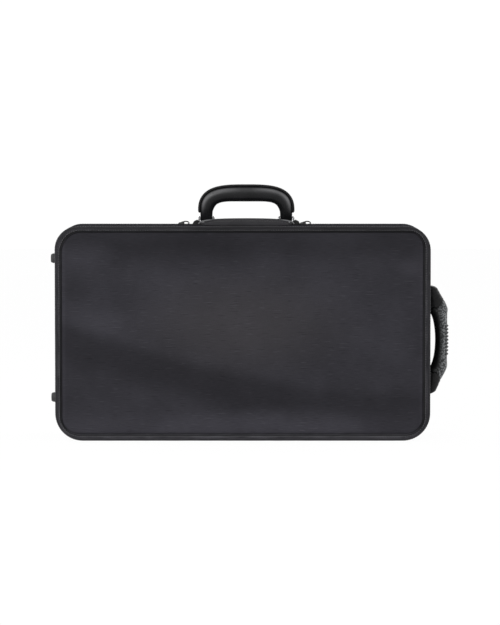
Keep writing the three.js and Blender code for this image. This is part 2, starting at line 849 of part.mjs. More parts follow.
function lowerInsert() {
  const body = insertBlock(-innerHalf, innerHalf, insertInset, rowOneTop - fitGap);
  const z = (insertInset + rowOneTop) / 2;
  const end = innerHalf - insertEndWall;
  return cut(body, [trough(-end, end, z, lowerJointRadius, insertEndWall / 2), ...plateNotches()]);
}

function middleInsert() {
  const body = insertBlock(-innerHalf, innerHalf, rowOneTop, rowTwoTop - fitGap);
  const z = (rowOneTop + rowTwoTop) / 2;
  const end = innerHalf - insertEndWall;
  const mouthStart = end - mouthpieceLength;
  return cut(body, [
    trough(-end, mouthStart - insertEndWall, z, upperJointRadius, insertEndWall / 2),
    trough(mouthStart, end, z, mouthpieceRadius, insertEndWall / 2),
    ...plateNotches(),
  ]);
}

// Flared recess for the bell, its axis along X below the insert's face
function bellInsert() {
  const body = insertBlock(splitX + fitGap, innerHalf, rowTwoTop, rowThreeTop);
  const z = (rowTwoTop + rowThreeTop) / 2;
  const end = innerHalf - insertEndWall;
  const start = splitX + insertEndWall;
  const length = end - start;
  const flareShares = [[0, 0], [0.35, 0.12], [0.65, 0.4], [0.85, 0.75], [1, 1]];
  const profile = flareShares.map(([along, flare]) => (
    new THREE.Vector2(mix(bellThroatRadius, bellRadius, flare), start + along * length)
  ));
  const closed = [new THREE.Vector2(0, start), ...profile, new THREE.Vector2(0, end)];
  const recess = new THREE.LatheGeometry(closed, roundSides);
  recess.rotateY(Math.PI / roundSides).rotateZ(-Math.PI / 2).translate(0, insertFace + bellSink, z);
  const mouth = new THREE.Shape();
  profile.forEach((point) => mouth.lineTo(point.y, point.x));
  profile.reverse().forEach((point) => mouth.lineTo(point.y, -point.x));
  const opening = new THREE.ExtrudeGeometry(mouth, { depth: bellSink + cutOverrun, bevelEnabled: false });
  opening.rotateX(Math.PI / 2).translate(0, insertFace + bellSink, z);
  return cut(body, [join([recess, opening]), ...plateNotches()]);
}

const compartment = {
  lowX: -innerHalf + compartmentWall,
  highX: splitX - 2 * neckRadius - 2 * compartmentDivider,
  lowZ: rowTwoTop + compartmentWall,
  highZ: rowThreeTop - compartmentWall,
};

// Accessory compartment with a ledge for its cover, beside the neck's recess
function compartmentInsert() {
  const body = insertBlock(-innerHalf, splitX, rowTwoTop, rowThreeTop);
  const { lowX, highX, lowZ, highZ } = compartment;
  const hollow = block(
    [lowX + coverLedge, insertFace - cutOverrun, lowZ + coverLedge],
    [highX - coverLedge, insertFace + compartmentDepth, highZ - coverLedge],
  );
  const ledge = block(
    [lowX, insertFace - cutOverrun, lowZ],
    [highX, insertFace + coverPadThickness + fitGap, highZ],
  );
  const neckX = splitX - compartmentDivider - neckRadius;
  const neck = trough(lowZ, highZ, 0, neckRadius, insertEndWall / 2);
  neck.rotateY(-Math.PI / 2).translate(neckX, 0, 0);
  return cut(body, [hollow, ledge, neck, ...plateNotches()]);
}

// Lift-out padded cover of the compartment
function compartmentCover() {
  const { lowX, highX, lowZ, highZ } = compartment;
  return block(
    [lowX + fitGap, insertFace, lowZ + fitGap],
    [highX - fitGap, insertFace + coverPadThickness, highZ - fitGap],
  );
}

// Ribbon loop that lifts the cover
function coverTab() {
  const { lowX, highX, highZ } = compartment;
  const x = (lowX + highX) / 2;
  const top = highZ - compartmentWall;
  return block(
    [x - tabWidth / 2, insertFace - fitGap - tabThickness, top - tabLength],
    [x + tabWidth / 2, insertFace - fitGap, top],
  );
}

// Plush-covered padding that lines the inside of the lid
function lidLining() {
  const rim = partingY - fitGap;
  const face = frontY + shellInset + shellWall + fitGap;
  const roll = edgeRoll - shellInset;
  return wrap([
    [insertInset + roll, face], [insertInset, face + roll], [insertInset, rim],
    [insertInset + liningWall, rim], [insertInset + liningWall, face + lidPadThickness + roll],
    [insertInset + liningWall + roll, face + lidPadThickness],
  ]);
}

function footPlace(y, z) {
  const group = new THREE.Group();
  group.position.set(-halfWidth - fitGap, y, z);
  return group;
}

function feetOf(label, y) {
  return [['upper', bodyHeight - footUpperDrop], ['lower', footLowerRise]].map(([place, z]) => {
    const group = footPlace(y, z);
    group.add(part(`foot_${label}_${place}`, foot(), darkRubber()));
    return group;
  });
}

// Everything that stays with the rear half
function buildBase() {
  const base = new THREE.Group();
  base.add(part('base_shell', cut(shellHalf(BASE), [...handleScrewHoles(), ...sideRivetHoles()]), shellPlastic()));
  base.add(part('base_gusset', cut(gusset(BASE), [...handleScrewHoles(), ...sideRivetHoles()]), nylon()));
  base.add(part('back_panel', backPanel(), nylon()));
  base.add(part('back_binding', edgeBinding(BASE), bindingNylon()));
  base.add(part('back_piping', edgePiping(BASE), bindingNylon()));
  base.add(part('insert_lower_joint', lowerInsert(), plush()));
  base.add(part('insert_upper_joint', middleInsert(), plush()));
  base.add(part('insert_bell', bellInsert(), plush()));
  base.add(part('insert_compartment', compartmentInsert(), plush()));
  base.add(part('hinge_strip_base', hingeStrip(BASE), nylon()));
  [['left', -1], ['right', 1]].forEach(([label, hand]) => {
    base.add(part(`zip_base_${label}`, zipHalf(hand, BASE), zipNylon()));
    base.add(part(`zip_stop_${label}`, zipStop(hand), steel()));
  });
  base.add(...feetOf('base', backY - footSetback));
  return base;
}

// Everything that opens with the lid
function buildLid() {
  const lid = new THREE.Group();
  lid.add(part('lid_shell', shellHalf(LID), shellPlastic()));
  lid.add(part('lid_gusset', gusset(LID), nylon()));
  lid.add(part('front_panel', frontPanel(), nylon()));
  lid.add(part('front_binding', edgeBinding(LID), bindingNylon()));
  lid.add(part('front_piping', edgePiping(LID), bindingNylon()));
  lid.add(part('lid_lining', lidLining(), plush()));
  lid.add(part('hinge_strip_lid', hingeStrip(LID), nylon()));
  lid.add(part('handle_tongue', handleTongue(), nylon()));
  lid.add(part('tongue_binding', tongueBinding(), bindingNylon()));
  [['left', -1], ['right', 1]].forEach(([label, hand]) => {
    lid.add(part(`zip_lid_${label}`, zipHalf(hand, LID), zipNylon()));
  });
  lid.add(...feetOf('lid', frontY + footSetback));
  return lid;
}

// Swinging handle with its base, brackets, pins and screws
function buildHandle() {
  const carried = new THREE.Group();
  carried.add(part('handle_saddle', handleSaddle(), darkRubber()));
  carried.add(part('handle_plate', handlePlate(), steel()));
  bracketXs().forEach((x, i) => {
    const label = ['left', 'right'][i];
    const seat = new THREE.Group();
    seat.position.set(x, handleY, pivotZ);
    seat.add(part(`handle_bracket_${label}`, handleBracket(), steel()));
    seat.add(part(`handle_pin_${label}`, pivotPin(), steel()));
    carried.add(seat);
    screwPlaces().forEach(([screwX, screwY], j) => {
      const screw = part(`handle_screw_${label}_${['front', 'rear'][j]}`, screwBody(), steel());
      screw.position.set(x + screwX, handleY + screwY, bodyHeight);
      carried.add(screw);
    });
  });
  const swing = new THREE.Group();
  swing.position.set(handleOffset, handleY, pivotZ);
  swing.add(part('handle_grip', handleGrip(), rubber()));
  swing.add(part('handle_spine', handleSpine(), darkRubber()));
  carried.add(swing);
  return carried;
}

// Flexible side handle with its backing plates and rivets
function buildSideHandle() {
  const group = new THREE.Group();
  group.add(part('side_handle_grip', sideGrip(), rubber()));
  ['upper', 'lower'].forEach((label, i) => {
    const z = sideAnchorHeights()[i];
    group.add(part(`side_handle_end_${label}`, sideHandleEnd(i === 0 ? 1 : -1), darkRubber()));
    group.add(part(`side_handle_plate_${label}`, cut(sidePlate(z), sideRivetHoles()), steel()));
    const rivet = part(`side_handle_rivet_${label}`, sideRivet(), steel());
    rivet.position.set(halfWidth, sideHandleY, z);
    group.add(rivet);
  });
  return group;
}

// Sliders parked beside the handle, each with its ring lying towards +X
function buildZipSliders() {
  const group = new THREE.Group();
  const places = [
    ['left', handleOffset - zipTopReach - leftSliderTravel],
    ['right', handleOffset + zipTopReach + rightSliderTravel],
  ];
  places.forEach(([label, x]) => {
    const slider = new THREE.Group();
    slider.position.set(x, partingY, bodyHeight);
    slider.add(part(`zip_slider_${label}`, zipSlider(), steel()));
    const pull = part(`zip_pull_${label}`, pullRing(), steel());
    pull.position.set(crownReach - crownPost / 2 - fitGap - ringWire, 0, ringZ);
    slider.add(pull);
    group.add(slider);
  });
  return group;
}

function buildCompartmentCover() {
  const group = new THREE.Group();
  group.add(part('compartment_cover', compartmentCover(), plush()));
  group.add(part('cover_tab', coverTab(), ribbon()));
  return group;
}

const bassetHornCase = new THREE.Group();
bassetHornCase.add(buildBase(), buildLid(), buildHandle(), buildSideHandle());
bassetHornCase.add(buildZipSliders(), buildCompartmentCover());

export default bassetHornCase;
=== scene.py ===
import math
from functools import partialmethod

import bmesh
import bpy
import numpy as np
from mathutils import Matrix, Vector, noise


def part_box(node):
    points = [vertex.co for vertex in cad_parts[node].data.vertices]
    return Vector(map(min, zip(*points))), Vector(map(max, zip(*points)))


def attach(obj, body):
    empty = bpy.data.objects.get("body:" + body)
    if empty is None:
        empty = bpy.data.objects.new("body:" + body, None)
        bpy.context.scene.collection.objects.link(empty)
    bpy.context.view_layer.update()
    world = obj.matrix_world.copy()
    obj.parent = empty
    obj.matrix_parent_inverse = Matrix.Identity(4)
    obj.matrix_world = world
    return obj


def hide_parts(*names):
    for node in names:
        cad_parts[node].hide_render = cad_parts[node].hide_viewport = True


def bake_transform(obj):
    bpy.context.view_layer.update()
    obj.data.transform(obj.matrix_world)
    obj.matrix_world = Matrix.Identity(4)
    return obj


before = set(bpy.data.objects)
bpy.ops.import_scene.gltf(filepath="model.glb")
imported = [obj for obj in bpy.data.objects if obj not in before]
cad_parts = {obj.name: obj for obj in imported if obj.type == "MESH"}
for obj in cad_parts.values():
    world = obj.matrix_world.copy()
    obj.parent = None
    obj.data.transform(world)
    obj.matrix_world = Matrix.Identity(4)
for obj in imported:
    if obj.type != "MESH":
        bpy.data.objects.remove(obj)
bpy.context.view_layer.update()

# Sizes below are millimetres in the part's own frame; meshes are scaled to metres as they are made
toMetres = 0.001
case = dict(width=640, height=366, depth=160, parting=-10, corner=47, roll=9.5, cover=1.6, gap=0.3,
            pipingInset=11.8, pipingRadius=1.3, panelInset=13.4, zipHalf=9, leftOut=1.0, topOut=3.2,
            edgeTighter=(0.0, 6.2, 8.0, 0.0), seamTighter=(5.9, 11.2, 1.8, 5.9))
frontY = -case["depth"] / 2
backY = case["depth"] / 2
handlePlace = dict(x=6, y=10, pivotZ=377, legSpacing=137.6, rise=43, legPower=3.2, topPower=4.6)


# Shader maths: an expression on wires adds its nodes to their tree
class Wire:
    def __init__(self, tree, out):
        self.tree, self.out = tree, out

    def compute(self, operation, *others, flip=False):
        values = [*others, self] if flip else [self, *others]
        return self.tree.node("ShaderNodeMath", {"operation": operation}, dict(enumerate(values)))

    __add__ = __radd__ = partialmethod(compute, "ADD")
    __mul__ = __rmul__ = partialmethod(compute, "MULTIPLY")
    __sub__, __rsub__ = partialmethod(compute, "SUBTRACT"), partialmethod(compute, "SUBTRACT", flip=True)
    __truediv__ = partialmethod(compute, "DIVIDE")
    sine, absolute = partialmethod(compute, "SINE"), partialmethod(compute, "ABSOLUTE")
    fraction, squareRoot = partialmethod(compute, "FRACT"), partialmethod(compute, "SQRT")
    largest = partialmethod(compute, "MAXIMUM")

    def spread(self, low, high, start=0.0, end=1.0):
        return self.tree.node("ShaderNodeMapRange", {"interpolation_type": "SMOOTHSTEP"}, {
            "Value": self, "From Min": low, "From Max": high, "To Min": start, "To Max": end})


# Adds nodes to a material, a world or a node group
class Tree:
    def __init__(self, tree):
        self.nodes, self.links = tree.nodes, tree.links

    def node(self, kind, settings=None, values=None, output=0):
        made = self.nodes.new(kind)
        for key, value in (settings or {}).items():
            setattr(made, key, value)
        for key, value in (values or {}).items():
            self.feed(made.inputs[key], value)
        return Wire(self, made.outputs[output])

    def feed(self, socket, value):
        if isinstance(value, Wire):
            self.links.new(value.out, socket)
        else:
            socket.default_value = value


class Finish(Tree):
    def __init__(self, name, **constants):
        self.material = bpy.data.materials.new(name)
        self.material.use_nodes = True
        super().__init__(self.material.node_tree)
        self.shader = self.nodes["Principled BSDF"]
        for socket, value in constants.items():
            self.feed(self.shader.inputs[socket.replace("_", " ")], value)

    def place(self):
        if not hasattr(self, "axes"):
            spot = self.node("ShaderNodeTexCoord", output=3)
            split = self.node("ShaderNodeSeparateXYZ", values={0: spot})
            self.axes = spot, *(Wire(self, split.out.node.outputs[i]) for i in range(3))
        return self.axes

    def surface(self):
        if not hasattr(self, "along"):
            flat = self.node("ShaderNodeUVMap", {"uv_map": "surface"})
            split = self.node("ShaderNodeSeparateXYZ", values={0: flat})
            self.along = split, Wire(self, split.out.node.outputs[1])
        return self.along

    def stretched(self, x, y, z=0.0):
        return self.node("ShaderNodeCombineXYZ", values={0: x, 1: y, 2: z})

    def grain(self, vector, scale, detail=2.0, rough=0.5):
        return self.node("ShaderNodeTexNoise", values={
            "Vector": vector, "Scale": scale, "Detail": detail, "Roughness": rough})

    def cells(self, vector, scale):
        return self.node("ShaderNodeTexVoronoi", values={"Vector": vector, "Scale": scale})

    # A blend from the first colour, plain or worked out, to the second
    def blended(self, share, first, second):
        first = first if isinstance(first, Wire) else (*first, 1)
        return self.node("ShaderNodeMix", {"data_type": "RGBA"}, {0: share, 6: first, 7: (*second, 1)}, output=2)

    # 1 at a place on the front, fading to 0 at the blob's edge
    def blob(self, x, z, centreX, centreZ, reachX, reachZ):
        across, up = (x - centreX) / reachX, (z - centreZ) / reachZ
        return (across * across + up * up).squareRoot().spread(0.15, 1.0, 1.0, 0.0)

    def brightened(self, colour, factor):
        return self.node("ShaderNodeVectorMath", {"operation": "SCALE"}, {0: colour, "Scale": factor})

    def dress(self, colour, rough=None, height=None, depth=0.0001, strength=1.0):
        self.feed(self.shader.inputs["Base Color"], colour)
        if rough is not None:
            self.feed(self.shader.inputs["Roughness"], rough)
        if height is not None:
            self.feed(self.shader.inputs["Normal"], self.node("ShaderNodeBump", values={
                "Strength": strength, "Distance": depth, "Height": height}))
        return self.material


# Mesh helpers
def placedObject(name, data):
    made = bpy.data.objects.new(name, data)
    bpy.context.scene.collection.objects.link(made)
    return made


# Angles once round a circle
def turns(count):
    return np.linspace(0, 2 * math.pi, count, endpoint=False)


# The same, half a step on
def midTurns(count):
    return turns(count) + math.pi / count


def mixed(start, end, share):
    return start + (end - start) * share


def clamped(value):
    return min(max(value, 0), 1)


# 1 at the middle, fading on both sides
def bell(value, middle, reach):
    return math.exp(-((value - middle) / reach) ** 2)


# Power of a value that keeps its sign, to fill out a round section
def filled(value, power):
    return math.copysign(abs(value) ** power, value)


# Running length along points, with the way back to the first for a closed line
def runOf(points, closed=True):
    points = np.asarray(points, float)
    steps = np.linalg.norm(np.roll(points, -1, 0) - points, axis=1)
    return np.concatenate([[0], np.cumsum(steps if closed else steps[:-1])])


# Faces out and smooth, with edges past an angle kept sharp
def finishMesh(mesh, sharpAngle=50):
    work = bmesh.new()
    work.from_mesh(mesh)
    bmesh.ops.recalc_face_normals(work, faces=work.faces)
    for edge in work.edges:
        edge.smooth = len(edge.link_faces) != 2 or edge.calc_face_angle(0) < math.radians(sharpAngle)
    for face in work.faces:
        face.smooth = True
    work.to_mesh(mesh)
    work.free()


# A skin over closed rows of points; its ends are capped, or the last row meets the first
def gridPiece(name, rows, closedRows=False, along=None, across=None, sharpAngle=50):
    rows = np.asarray(rows, float)
    rowCount, count = rows.shape[:2]
    if along is None:
        along = runOf(rows[0])
    if across is None:
        widest = np.linalg.norm(np.roll(rows, -1, 0) - rows, axis=2).mean(1)
        across = np.concatenate([[0], np.cumsum(widest)])
    faces, corners = [], []
    for k in range(rowCount if closedRows else rowCount - 1):
        nextRow = (k + 1) % rowCount
        for i in range(count):
            nextPoint = (i + 1) % count
            faces.append((k * count + i, k * count + nextPoint, nextRow * count + nextPoint, nextRow * count + i))
            corners += [(along[i], across[k]), (along[i + 1], across[k]),
                        (along[i + 1], across[k + 1]), (along[i], across[k + 1])]
    if not closedRows:
        for k in (0, rowCount - 1):
            faces.append(tuple(k * count + i for i in range(count)))
            corners += [(rows[k, i, 0], rows[k, i, 2]) for i in range(count)]
    mesh = bpy.data.meshes.new(name)
    mesh.from_pydata((rows.reshape(-1, 3) * toMetres).tolist(), [], faces)
    mesh.uv_layers.new(name="surface").data.foreach_set("uv", (np.asarray(corners, float) * toMetres).ravel())
    finishMesh(mesh, sharpAngle)
    return placedObject(name, mesh)


# One piece made of several, which go
def joinPieces(name, pieces):
    work = bmesh.new()
    for piece in pieces:
        work.from_mesh(piece.data)
        bpy.data.objects.remove(piece)
    mesh = bpy.data.meshes.new(name)
    work.to_mesh(mesh)
    work.free()
    return placedObject(name, mesh)


copyLook = dict(sharp=40, bevelled=60)


# Copy of a CAD node with its edges rounded by a bevel in millimetres
def copyOfNode(node, name, bevel=0.0, segments=2):
    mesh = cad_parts[node].data.copy()
    mesh.name = name
    mesh.materials.clear()
    work = bmesh.new()
    work.from_mesh(mesh)
    bmesh.ops.remove_doubles(work, verts=work.verts, dist=1e-6)
    bmesh.ops.dissolve_limit(work, angle_limit=math.radians(1), verts=work.verts, edges=work.edges)
    work.to_mesh(mesh)
    work.free()
    finishMesh(mesh, copyLook["sharp"])
    piece = placedObject(name, mesh)
    if bevel:
        edge = piece.modifiers.new("bevel", "BEVEL")
        edge.width, edge.segments, edge.limit_method = bevel * toMetres, segments, "ANGLE"
        edge.angle_limit = math.radians(copyLook["sharp"])
        bake(piece)
        finishMesh(piece.data, copyLook["bevelled"])
    return piece


# Lays the cloth's pattern flat over two axes
def flatSurface(piece, first, second):
    layer = piece.data.uv_layers.get("surface") or piece.data.uv_layers.new(name="surface")
    for loop in piece.data.loops:
        spot = piece.data.vertices[loop.vertex_index].co
        layer.data[loop.index].uv = (spot[first], spot[second])


# Turns the cloth's pattern a quarter, to run along the rows' direction
def turnSurface(piece):
    for corner in piece.data.uv_layers["surface"].data:
        corner.uv = (corner.uv[1], corner.uv[0])


# Corners of a CAD node's box in millimetres
def boxOf(node):
    return [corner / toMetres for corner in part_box(node)]


# A CAD node's name in the scene's own style
def styled(node):
    first, *others = node.split("_")
    return first + "".join(word.capitalize() for word in others)


# Turns the live modifiers of a piece into plain mesh
def bake(piece):
    graph = bpy.context.evaluated_depsgraph_get()
    graph.update()
    mesh = bpy.data.meshes.new_from_object(piece.evaluated_get(graph))
    piece.modifiers.clear()
    old = piece.data
    piece.data = mesh
    bpy.data.meshes.remove(old)


# One even skin over a piece's faces
def remesh(piece, voxel):
    skin = piece.modifiers.new("remesh", "REMESH")
    skin.mode, skin.voxel_size = "VOXEL", voxel * toMetres


def relax(piece, steps):
    smooth = piece.modifiers.new("relax", "SMOOTH")
    smooth.factor, smooth.iterations = 0.5, steps


# What a piece looks like, rides and stands for; how full it is padded (fill) is not used
def settle(piece, body, material, slot, *nodes, fill=None):
    if material is not None:
        piece.data.materials.clear()
        piece.data.materials.append(material)
    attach(piece, body)
    if nodes:
        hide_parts(*nodes)


# Soft unevenness of sewn cloth at a point in millimetres
def ripple(point, size, height, seed=0.0):
    spot = Vector((point[0] / size + seed, point[1] / size, point[2] / size))
    return height * noise.noise(spot)


# Outline
outlineSteps = dict(corner=14, side=24, top=46)


# Ring of the outline at an inset; at the top and left the seam is drawn a little outwards
def outlineRing(inset, drawn=1.0):
    share = clamped(inset / case["pipingInset"])
    past = max(inset - case["pipingInset"], 0) / (case["height"] / 2 - case["pipingInset"])
    shift = drawn * share * (1 - past)
    corners = []
    for index, (edge, seam) in enumerate(zip(case["edgeTighter"], case["seamTighter"])):
        radius = max(case["corner"] - inset - drawn * mixed(edge, seam, share), 4)
        radius = min(radius, case["height"] / 2 - inset - 0.01)
        x, z = case["width"] / 2 - inset - radius, inset + radius
        corners.append((x if index < 2 else -x, case["height"] - z if index in (1, 2) else z, radius))
    straights = [outlineSteps["side"], outlineSteps["top"]] * 2
    points, outs = [], []

    def placed(corner, out):
        x, z, radius = corner
        return (x + radius * out[0] + shift * case["leftOut"] * min(out[0], 0),
                z + radius * out[1] + shift * case["topOut"] * max(out[1], 0))

    for index, corner in enumerate(corners):
        for i in range(outlineSteps["corner"] + 1):
            angle = (index - 1 + i / outlineSteps["corner"]) * math.pi / 2
            out = (math.cos(angle), math.sin(angle))
            points.append(placed(corner, out))
            outs.append(out)
        start, end = np.array(points[-1]), np.array(placed(corners[(index + 1) % 4], outs[-1]))
        for i in range(1, straights[index]):
            points.append(tuple(start + (end - start) * i / straights[index]))
            outs.append(outs[-1])
    return np.array(points), np.array(outs)


outlineLength = runOf(outlineRing(0)[0])


# Rows round the whole outline from [inset, y] pairs, with soft unevenness
def outlineRows(section, size, height, seed, drawn=1.0):
    rows = []
    for inset, y in section:
        points, outs = outlineRing(inset, drawn)
        row = []
        for (x, z), (outX, outZ) in zip(points, outs):
            push = ripple((x, 0, z), size, height, seed)
            row.append((x + outX * push, y, z + outZ * push))
        rows.append(row)
    return rows


# Closed band round the whole outline, with another unevenness on each side
def outlineBand(name, section, look, side):
    rows = outlineRows(section, look["wave"], look["rise"], look["seed"] + side)
    return gridPiece(name, rows, closedRows=True, along=outlineLength, across=runOf(section))


# Quarter round from the side wall to the face
def rollSection(inset, faceY, side, radius, steps=9):
    return [(inset + radius * (1 - math.cos(a)), faceY - side * radius * (1 - math.sin(a)))
            for a in [i / steps * math.pi / 2 for i in range(steps + 1)]]


# Finishes
fabricLook = dict(dark=(0.0262, 0.0253, 0.0308), light=(0.0432, 0.0418, 0.0505), slubDark=(0.016, 0.0155, 0.019),
                  slubLight=(0.07, 0.068, 0.079), warm=(0.05, 0.0462, 0.0475), pitch=0.0011, patch=9.0,
                  gloss=0.1, threadAlong=90, threadAcross=900, slubAlong=44, slubAcross=620, rough=0.74)
# Broad painted light and shade on the front: centre and reach in metres, and how much brighter or darker
frontPaintedTones = [(-0.02, 0.215, 0.3, 0.11, 0.16), (-0.262, 0.318, 0.06, 0.036, 0.3), (-0.284, 0.257, 0.04, 0.034, -0.2),
              (0.2, 0.322, 0.16, 0.04, -0.08), (0.284, 0.296, 0.03, 0.022, 0.18), (0.285, 0.08, 0.06, 0.03, -0.14),
              (0.0, 0.02, 0.46, 0.04, 0.44), (0.08, 0.036, 0.17, 0.034, 0.32), (-0.1, 0.325, 0.24, 0.055, -0.2),
              (-0.16, 0.1, 0.17, 0.045, -0.03), (-0.235, 0.205, 0.07, 0.03, 0.14)]


shadeLook = dict(bend=0.2625, fall=-0.21, level=0.0984, valley=-0.33, top=-0.24, ends=0.2)


# Soft painted shading of the stuffed front: a painted dark valley bends down from the left to the right, the top edge
# is painted darker, the sides painted lighter, and the broad painted tones are added
def frontShade(f):
    x, z = f.place()[1], f.place()[3]
    valley = z - (x * x * shadeLook["bend"] + x * shadeLook["fall"] + shadeLook["level"])
    depth = valley.spread(-0.07, -0.02) * valley.spread(0.0, 0.03, 1.0, 0.0) * x.spread(0.0, 0.33, 1.0, 0.45)
    shade = depth * shadeLook["valley"] + z.spread(0.295, 0.34) * shadeLook["top"] + 1.0
    shade = shade + x.absolute().spread(0.299, 0.306) * shadeLook["ends"]
    for centreX, centreZ, reachX, reachZ, change in frontPaintedTones:
        shade = shade + f.blob(x, z, centreX, centreZ, reachX, reachZ) * change
    return shade


def nylonFinish(name, look, front=False):
    f = Finish(name, Specular_IOR_Level=look["gloss"])
    along, across = f.surface()
    turn = 2 * math.pi / look["pitch"]
    warp, weft = (along * turn).sine(), (across * turn).sine()
    basket = warp * weft
    plane = f.stretched(along, across)
    patch = f.grain(plane, look["patch"], 3.0, 0.55)
    thread = f.grain(f.stretched(along * look["threadAlong"], across * look["threadAcross"]), 1.0, 1.0)
    slubs = along * look["slubAlong"], across * look["slubAcross"]
    slub, gap = (f.grain(f.stretched(*slubs, layer), 1.0, 0.0).spread(0.68, 0.8) for layer in (3.0, 9.0))
    tone = (patch * 0.75 + thread * 0.3 + basket * 0.05).spread(0.25, 0.8)
    colour = f.blended(tone, look["dark"], look["light"])
    if front:
        x, z = f.place()[1], f.place()[3]
        colour = f.blended(f.blob(x, z, 0.0, 0.2, 0.24, 0.12) * 0.4, colour, look["warm"])
    colour = f.blended(slub * 0.32, colour, look["slubLight"])
    colour = f.blended(gap * 0.4, colour, look["slubDark"])
    if front:
        colour = f.brightened(colour, frontShade(f))
    return f.dress(colour, patch * 0.12 + look["rough"], basket * 0.5 + thread * 0.6 + slub * 0.8, 0.00018, 0.7)


# The factors near the floor, at the lowest edge and at the top are painted light and painted shade
tapeLook = dict(dark=(0.016, 0.0156, 0.0178), light=(0.042, 0.041, 0.0465), lace=(0.11, 0.107, 0.12), rib=0.0012,
                lacePitch=0.0047, laceMiddle=0.0121, laceHalf=0.0024, gloss=0.1, dust=1.9, paintedFloorLightTop=0.03, edge=0.25,
                topShade=0.23, wearAlong=60, wearAcross=260, rough=0.6)


# Grosgrain tape whose face carries a woven lattice of small diamonds; near the floor it is painted paler as light from
# below, its lowest edge gets a painted shade line and the top of the front a painted shade
def tapeFinish(name, look, lattice=True):
    f = Finish(name, Specular_IOR_Level=look["gloss"])
    along, across = f.surface()
    rib = (along * (2 * math.pi / look["rib"])).sine() * 0.5 + 0.5
    wear = f.grain(f.stretched(along * look["wearAlong"], across * look["wearAcross"]), 1.0, 3.0)
    tone = (rib * 0.35 + wear * 0.8).spread(0.3, 1.0)
    colour = f.blended(tone, look["dark"], look["light"])
    height = rib * 0.8
    if lattice:
        up = ((along + across) / look["lacePitch"]).fraction()
        down = ((along - across) / look["lacePitch"]).fraction()
        near = ((across - look["laceMiddle"]).absolute()).spread(look["laceHalf"] * 0.8, look["laceHalf"], 1.0, 0.0)
        lines = (up - 0.5).absolute().spread(0.36, 0.46).largest((down - 0.5).absolute().spread(0.36, 0.46)) * near
        wearAndPaintedHighlight = f.grain(f.stretched(along * 14, across * 2), 1.0, 2.0).spread(0.38, 0.62)
        colour = f.blended(lines * wearAndPaintedHighlight * 0.75, colour, look["lace"])
        height = height + lines * 1.4
    x, z = f.place()[1], f.place()[3]
    # Painted light near the floor, painted shade along the lowest edge and along the top of the front
    shade = z.spread(0.004, look["paintedFloorLightTop"], look["dust"], 1.0) * z.spread(0.0, 0.0025, look["edge"], 1.0)
    topShade = z.spread(0.352, 0.357) * (x.spread(-0.11, -0.06) * 0.2 + look["topShade"])
    colour = f.brightened(colour, shade * (1 - topShade))
    return f.dress(colour, wear * 0.15 + look["rough"], height, 0.00022, 0.8)


rubberLook = dict(dark=(0.011, 0.0115, 0.0125), light=(0.026, 0.027, 0.029), dimple=900.0)


# Moulded rubber with fine dimples; where the piece's painted-highlight value is high, it is painted paler as a
# highlight
def rubberFinish(name, look, rough=0.42, depth=0.00012, specular=0.3, paintedHighlight=None):
    f = Finish(name, Specular_IOR_Level=specular)
    spot = f.place()[0]
    dimples = f.cells(spot, look["dimple"])
    soft = f.grain(spot, 38.0, 3.0)
    tone = (soft * 0.8 + dimples * 0.5).spread(0.3, 0.9)
    colour = f.blended(tone, look["dark"], look["light"])
    if paintedHighlight:
        wearAndPaintedHighlight = f.node("ShaderNodeAttribute", {"attribute_name": "paintedHighlight"}, output=2)
        dots = f.cells(spot, paintedHighlight["dimple"]).spread(0.3, 0.62, 1.0, 0.0)
        speckle = dots * paintedHighlight["speckle"] + (1 - paintedHighlight["speckle"])
        colour = f.blended(wearAndPaintedHighlight * speckle, colour, paintedHighlight["colour"])
        dimples = dimples + wearAndPaintedHighlight * speckle * paintedHighlight["speckle"] * 3.0
    return f.dress(colour, soft * 0.08 + rough, dimples, depth, 0.6)


def steelFinish(name, bright, dull, metallic=1.0, rough=0.16, specular=0.5):
    f = Finish(name, Metallic=metallic, Specular_IOR_Level=specular)
    spot, x, y, z = f.place()
    brushed = f.grain(f.stretched(x * 1500, y * 140, z * 140), 1.0, 2.0)
    tarnish = f.grain(spot, 220.0, 3.0).spread(0.45, 0.75)
    colour = f.blended(tarnish, bright, dull)
    return f.dress(colour, brushed * 0.14 + tarnish * 0.15 + rough, brushed, 0.00002, 0.4)


def plushFinish(name, dark, light):
    f = Finish(name, Specular_IOR_Level=0.1, Sheen_Weight=0.35, Sheen_Roughness=0.4,
               Sheen_Tint=(0.5, 0.52, 0.62, 1))
    spot = f.place()[0]
    pile = f.grain(spot, 1400.0, 3.0, 0.7)
    brushed = f.grain(spot, 26.0, 3.0, 0.6)
    tone = (pile * 0.2 + brushed * 0.7).spread(0.2, 0.7)
    return f.dress(f.blended(tone, dark, light), pile * 0.1 + 0.82, pile * 0.2 + brushed * 0.5, 0.0002, 0.5)


def shellFinish(name):
    f = Finish(name, Specular_IOR_Level=0.4)
    spot, x, y, z = f.place()
    fibre = f.grain(f.stretched(x * 60, y * 60, z * 420), 1.0, 4.0, 0.6)
    scuff = f.grain(spot, 15.0, 4.0, 0.65).spread(0.5, 0.7)
    tone = (fibre * 0.7 + scuff * 0.4).spread(0.25, 0.9)
    return f.dress(f.blended(tone, (0.008, 0.008, 0.009), (0.022, 0.022, 0.024)), scuff * 0.15 + 0.45, fibre,
                   0.0002, 0.6)


def ribbonFinish(name):
    f = Finish(name, Specular_IOR_Level=0.5, Sheen_Weight=0.1)
    spot, x = f.place()[:2]
    thread = (x * (2 * math.pi / 0.0007)).sine() * 0.5 + 0.5
    fade = f.grain(spot, 90.0, 2.0)
    tone = (thread * 0.5 + fade * 0.6).spread(0.25, 0.9)
    return f.dress(f.blended(tone, (0.07, 0.006, 0.01), (0.17, 0.016, 0.025)), fade * 0.2 + 0.32, thread,
                   0.00008, 0.7)


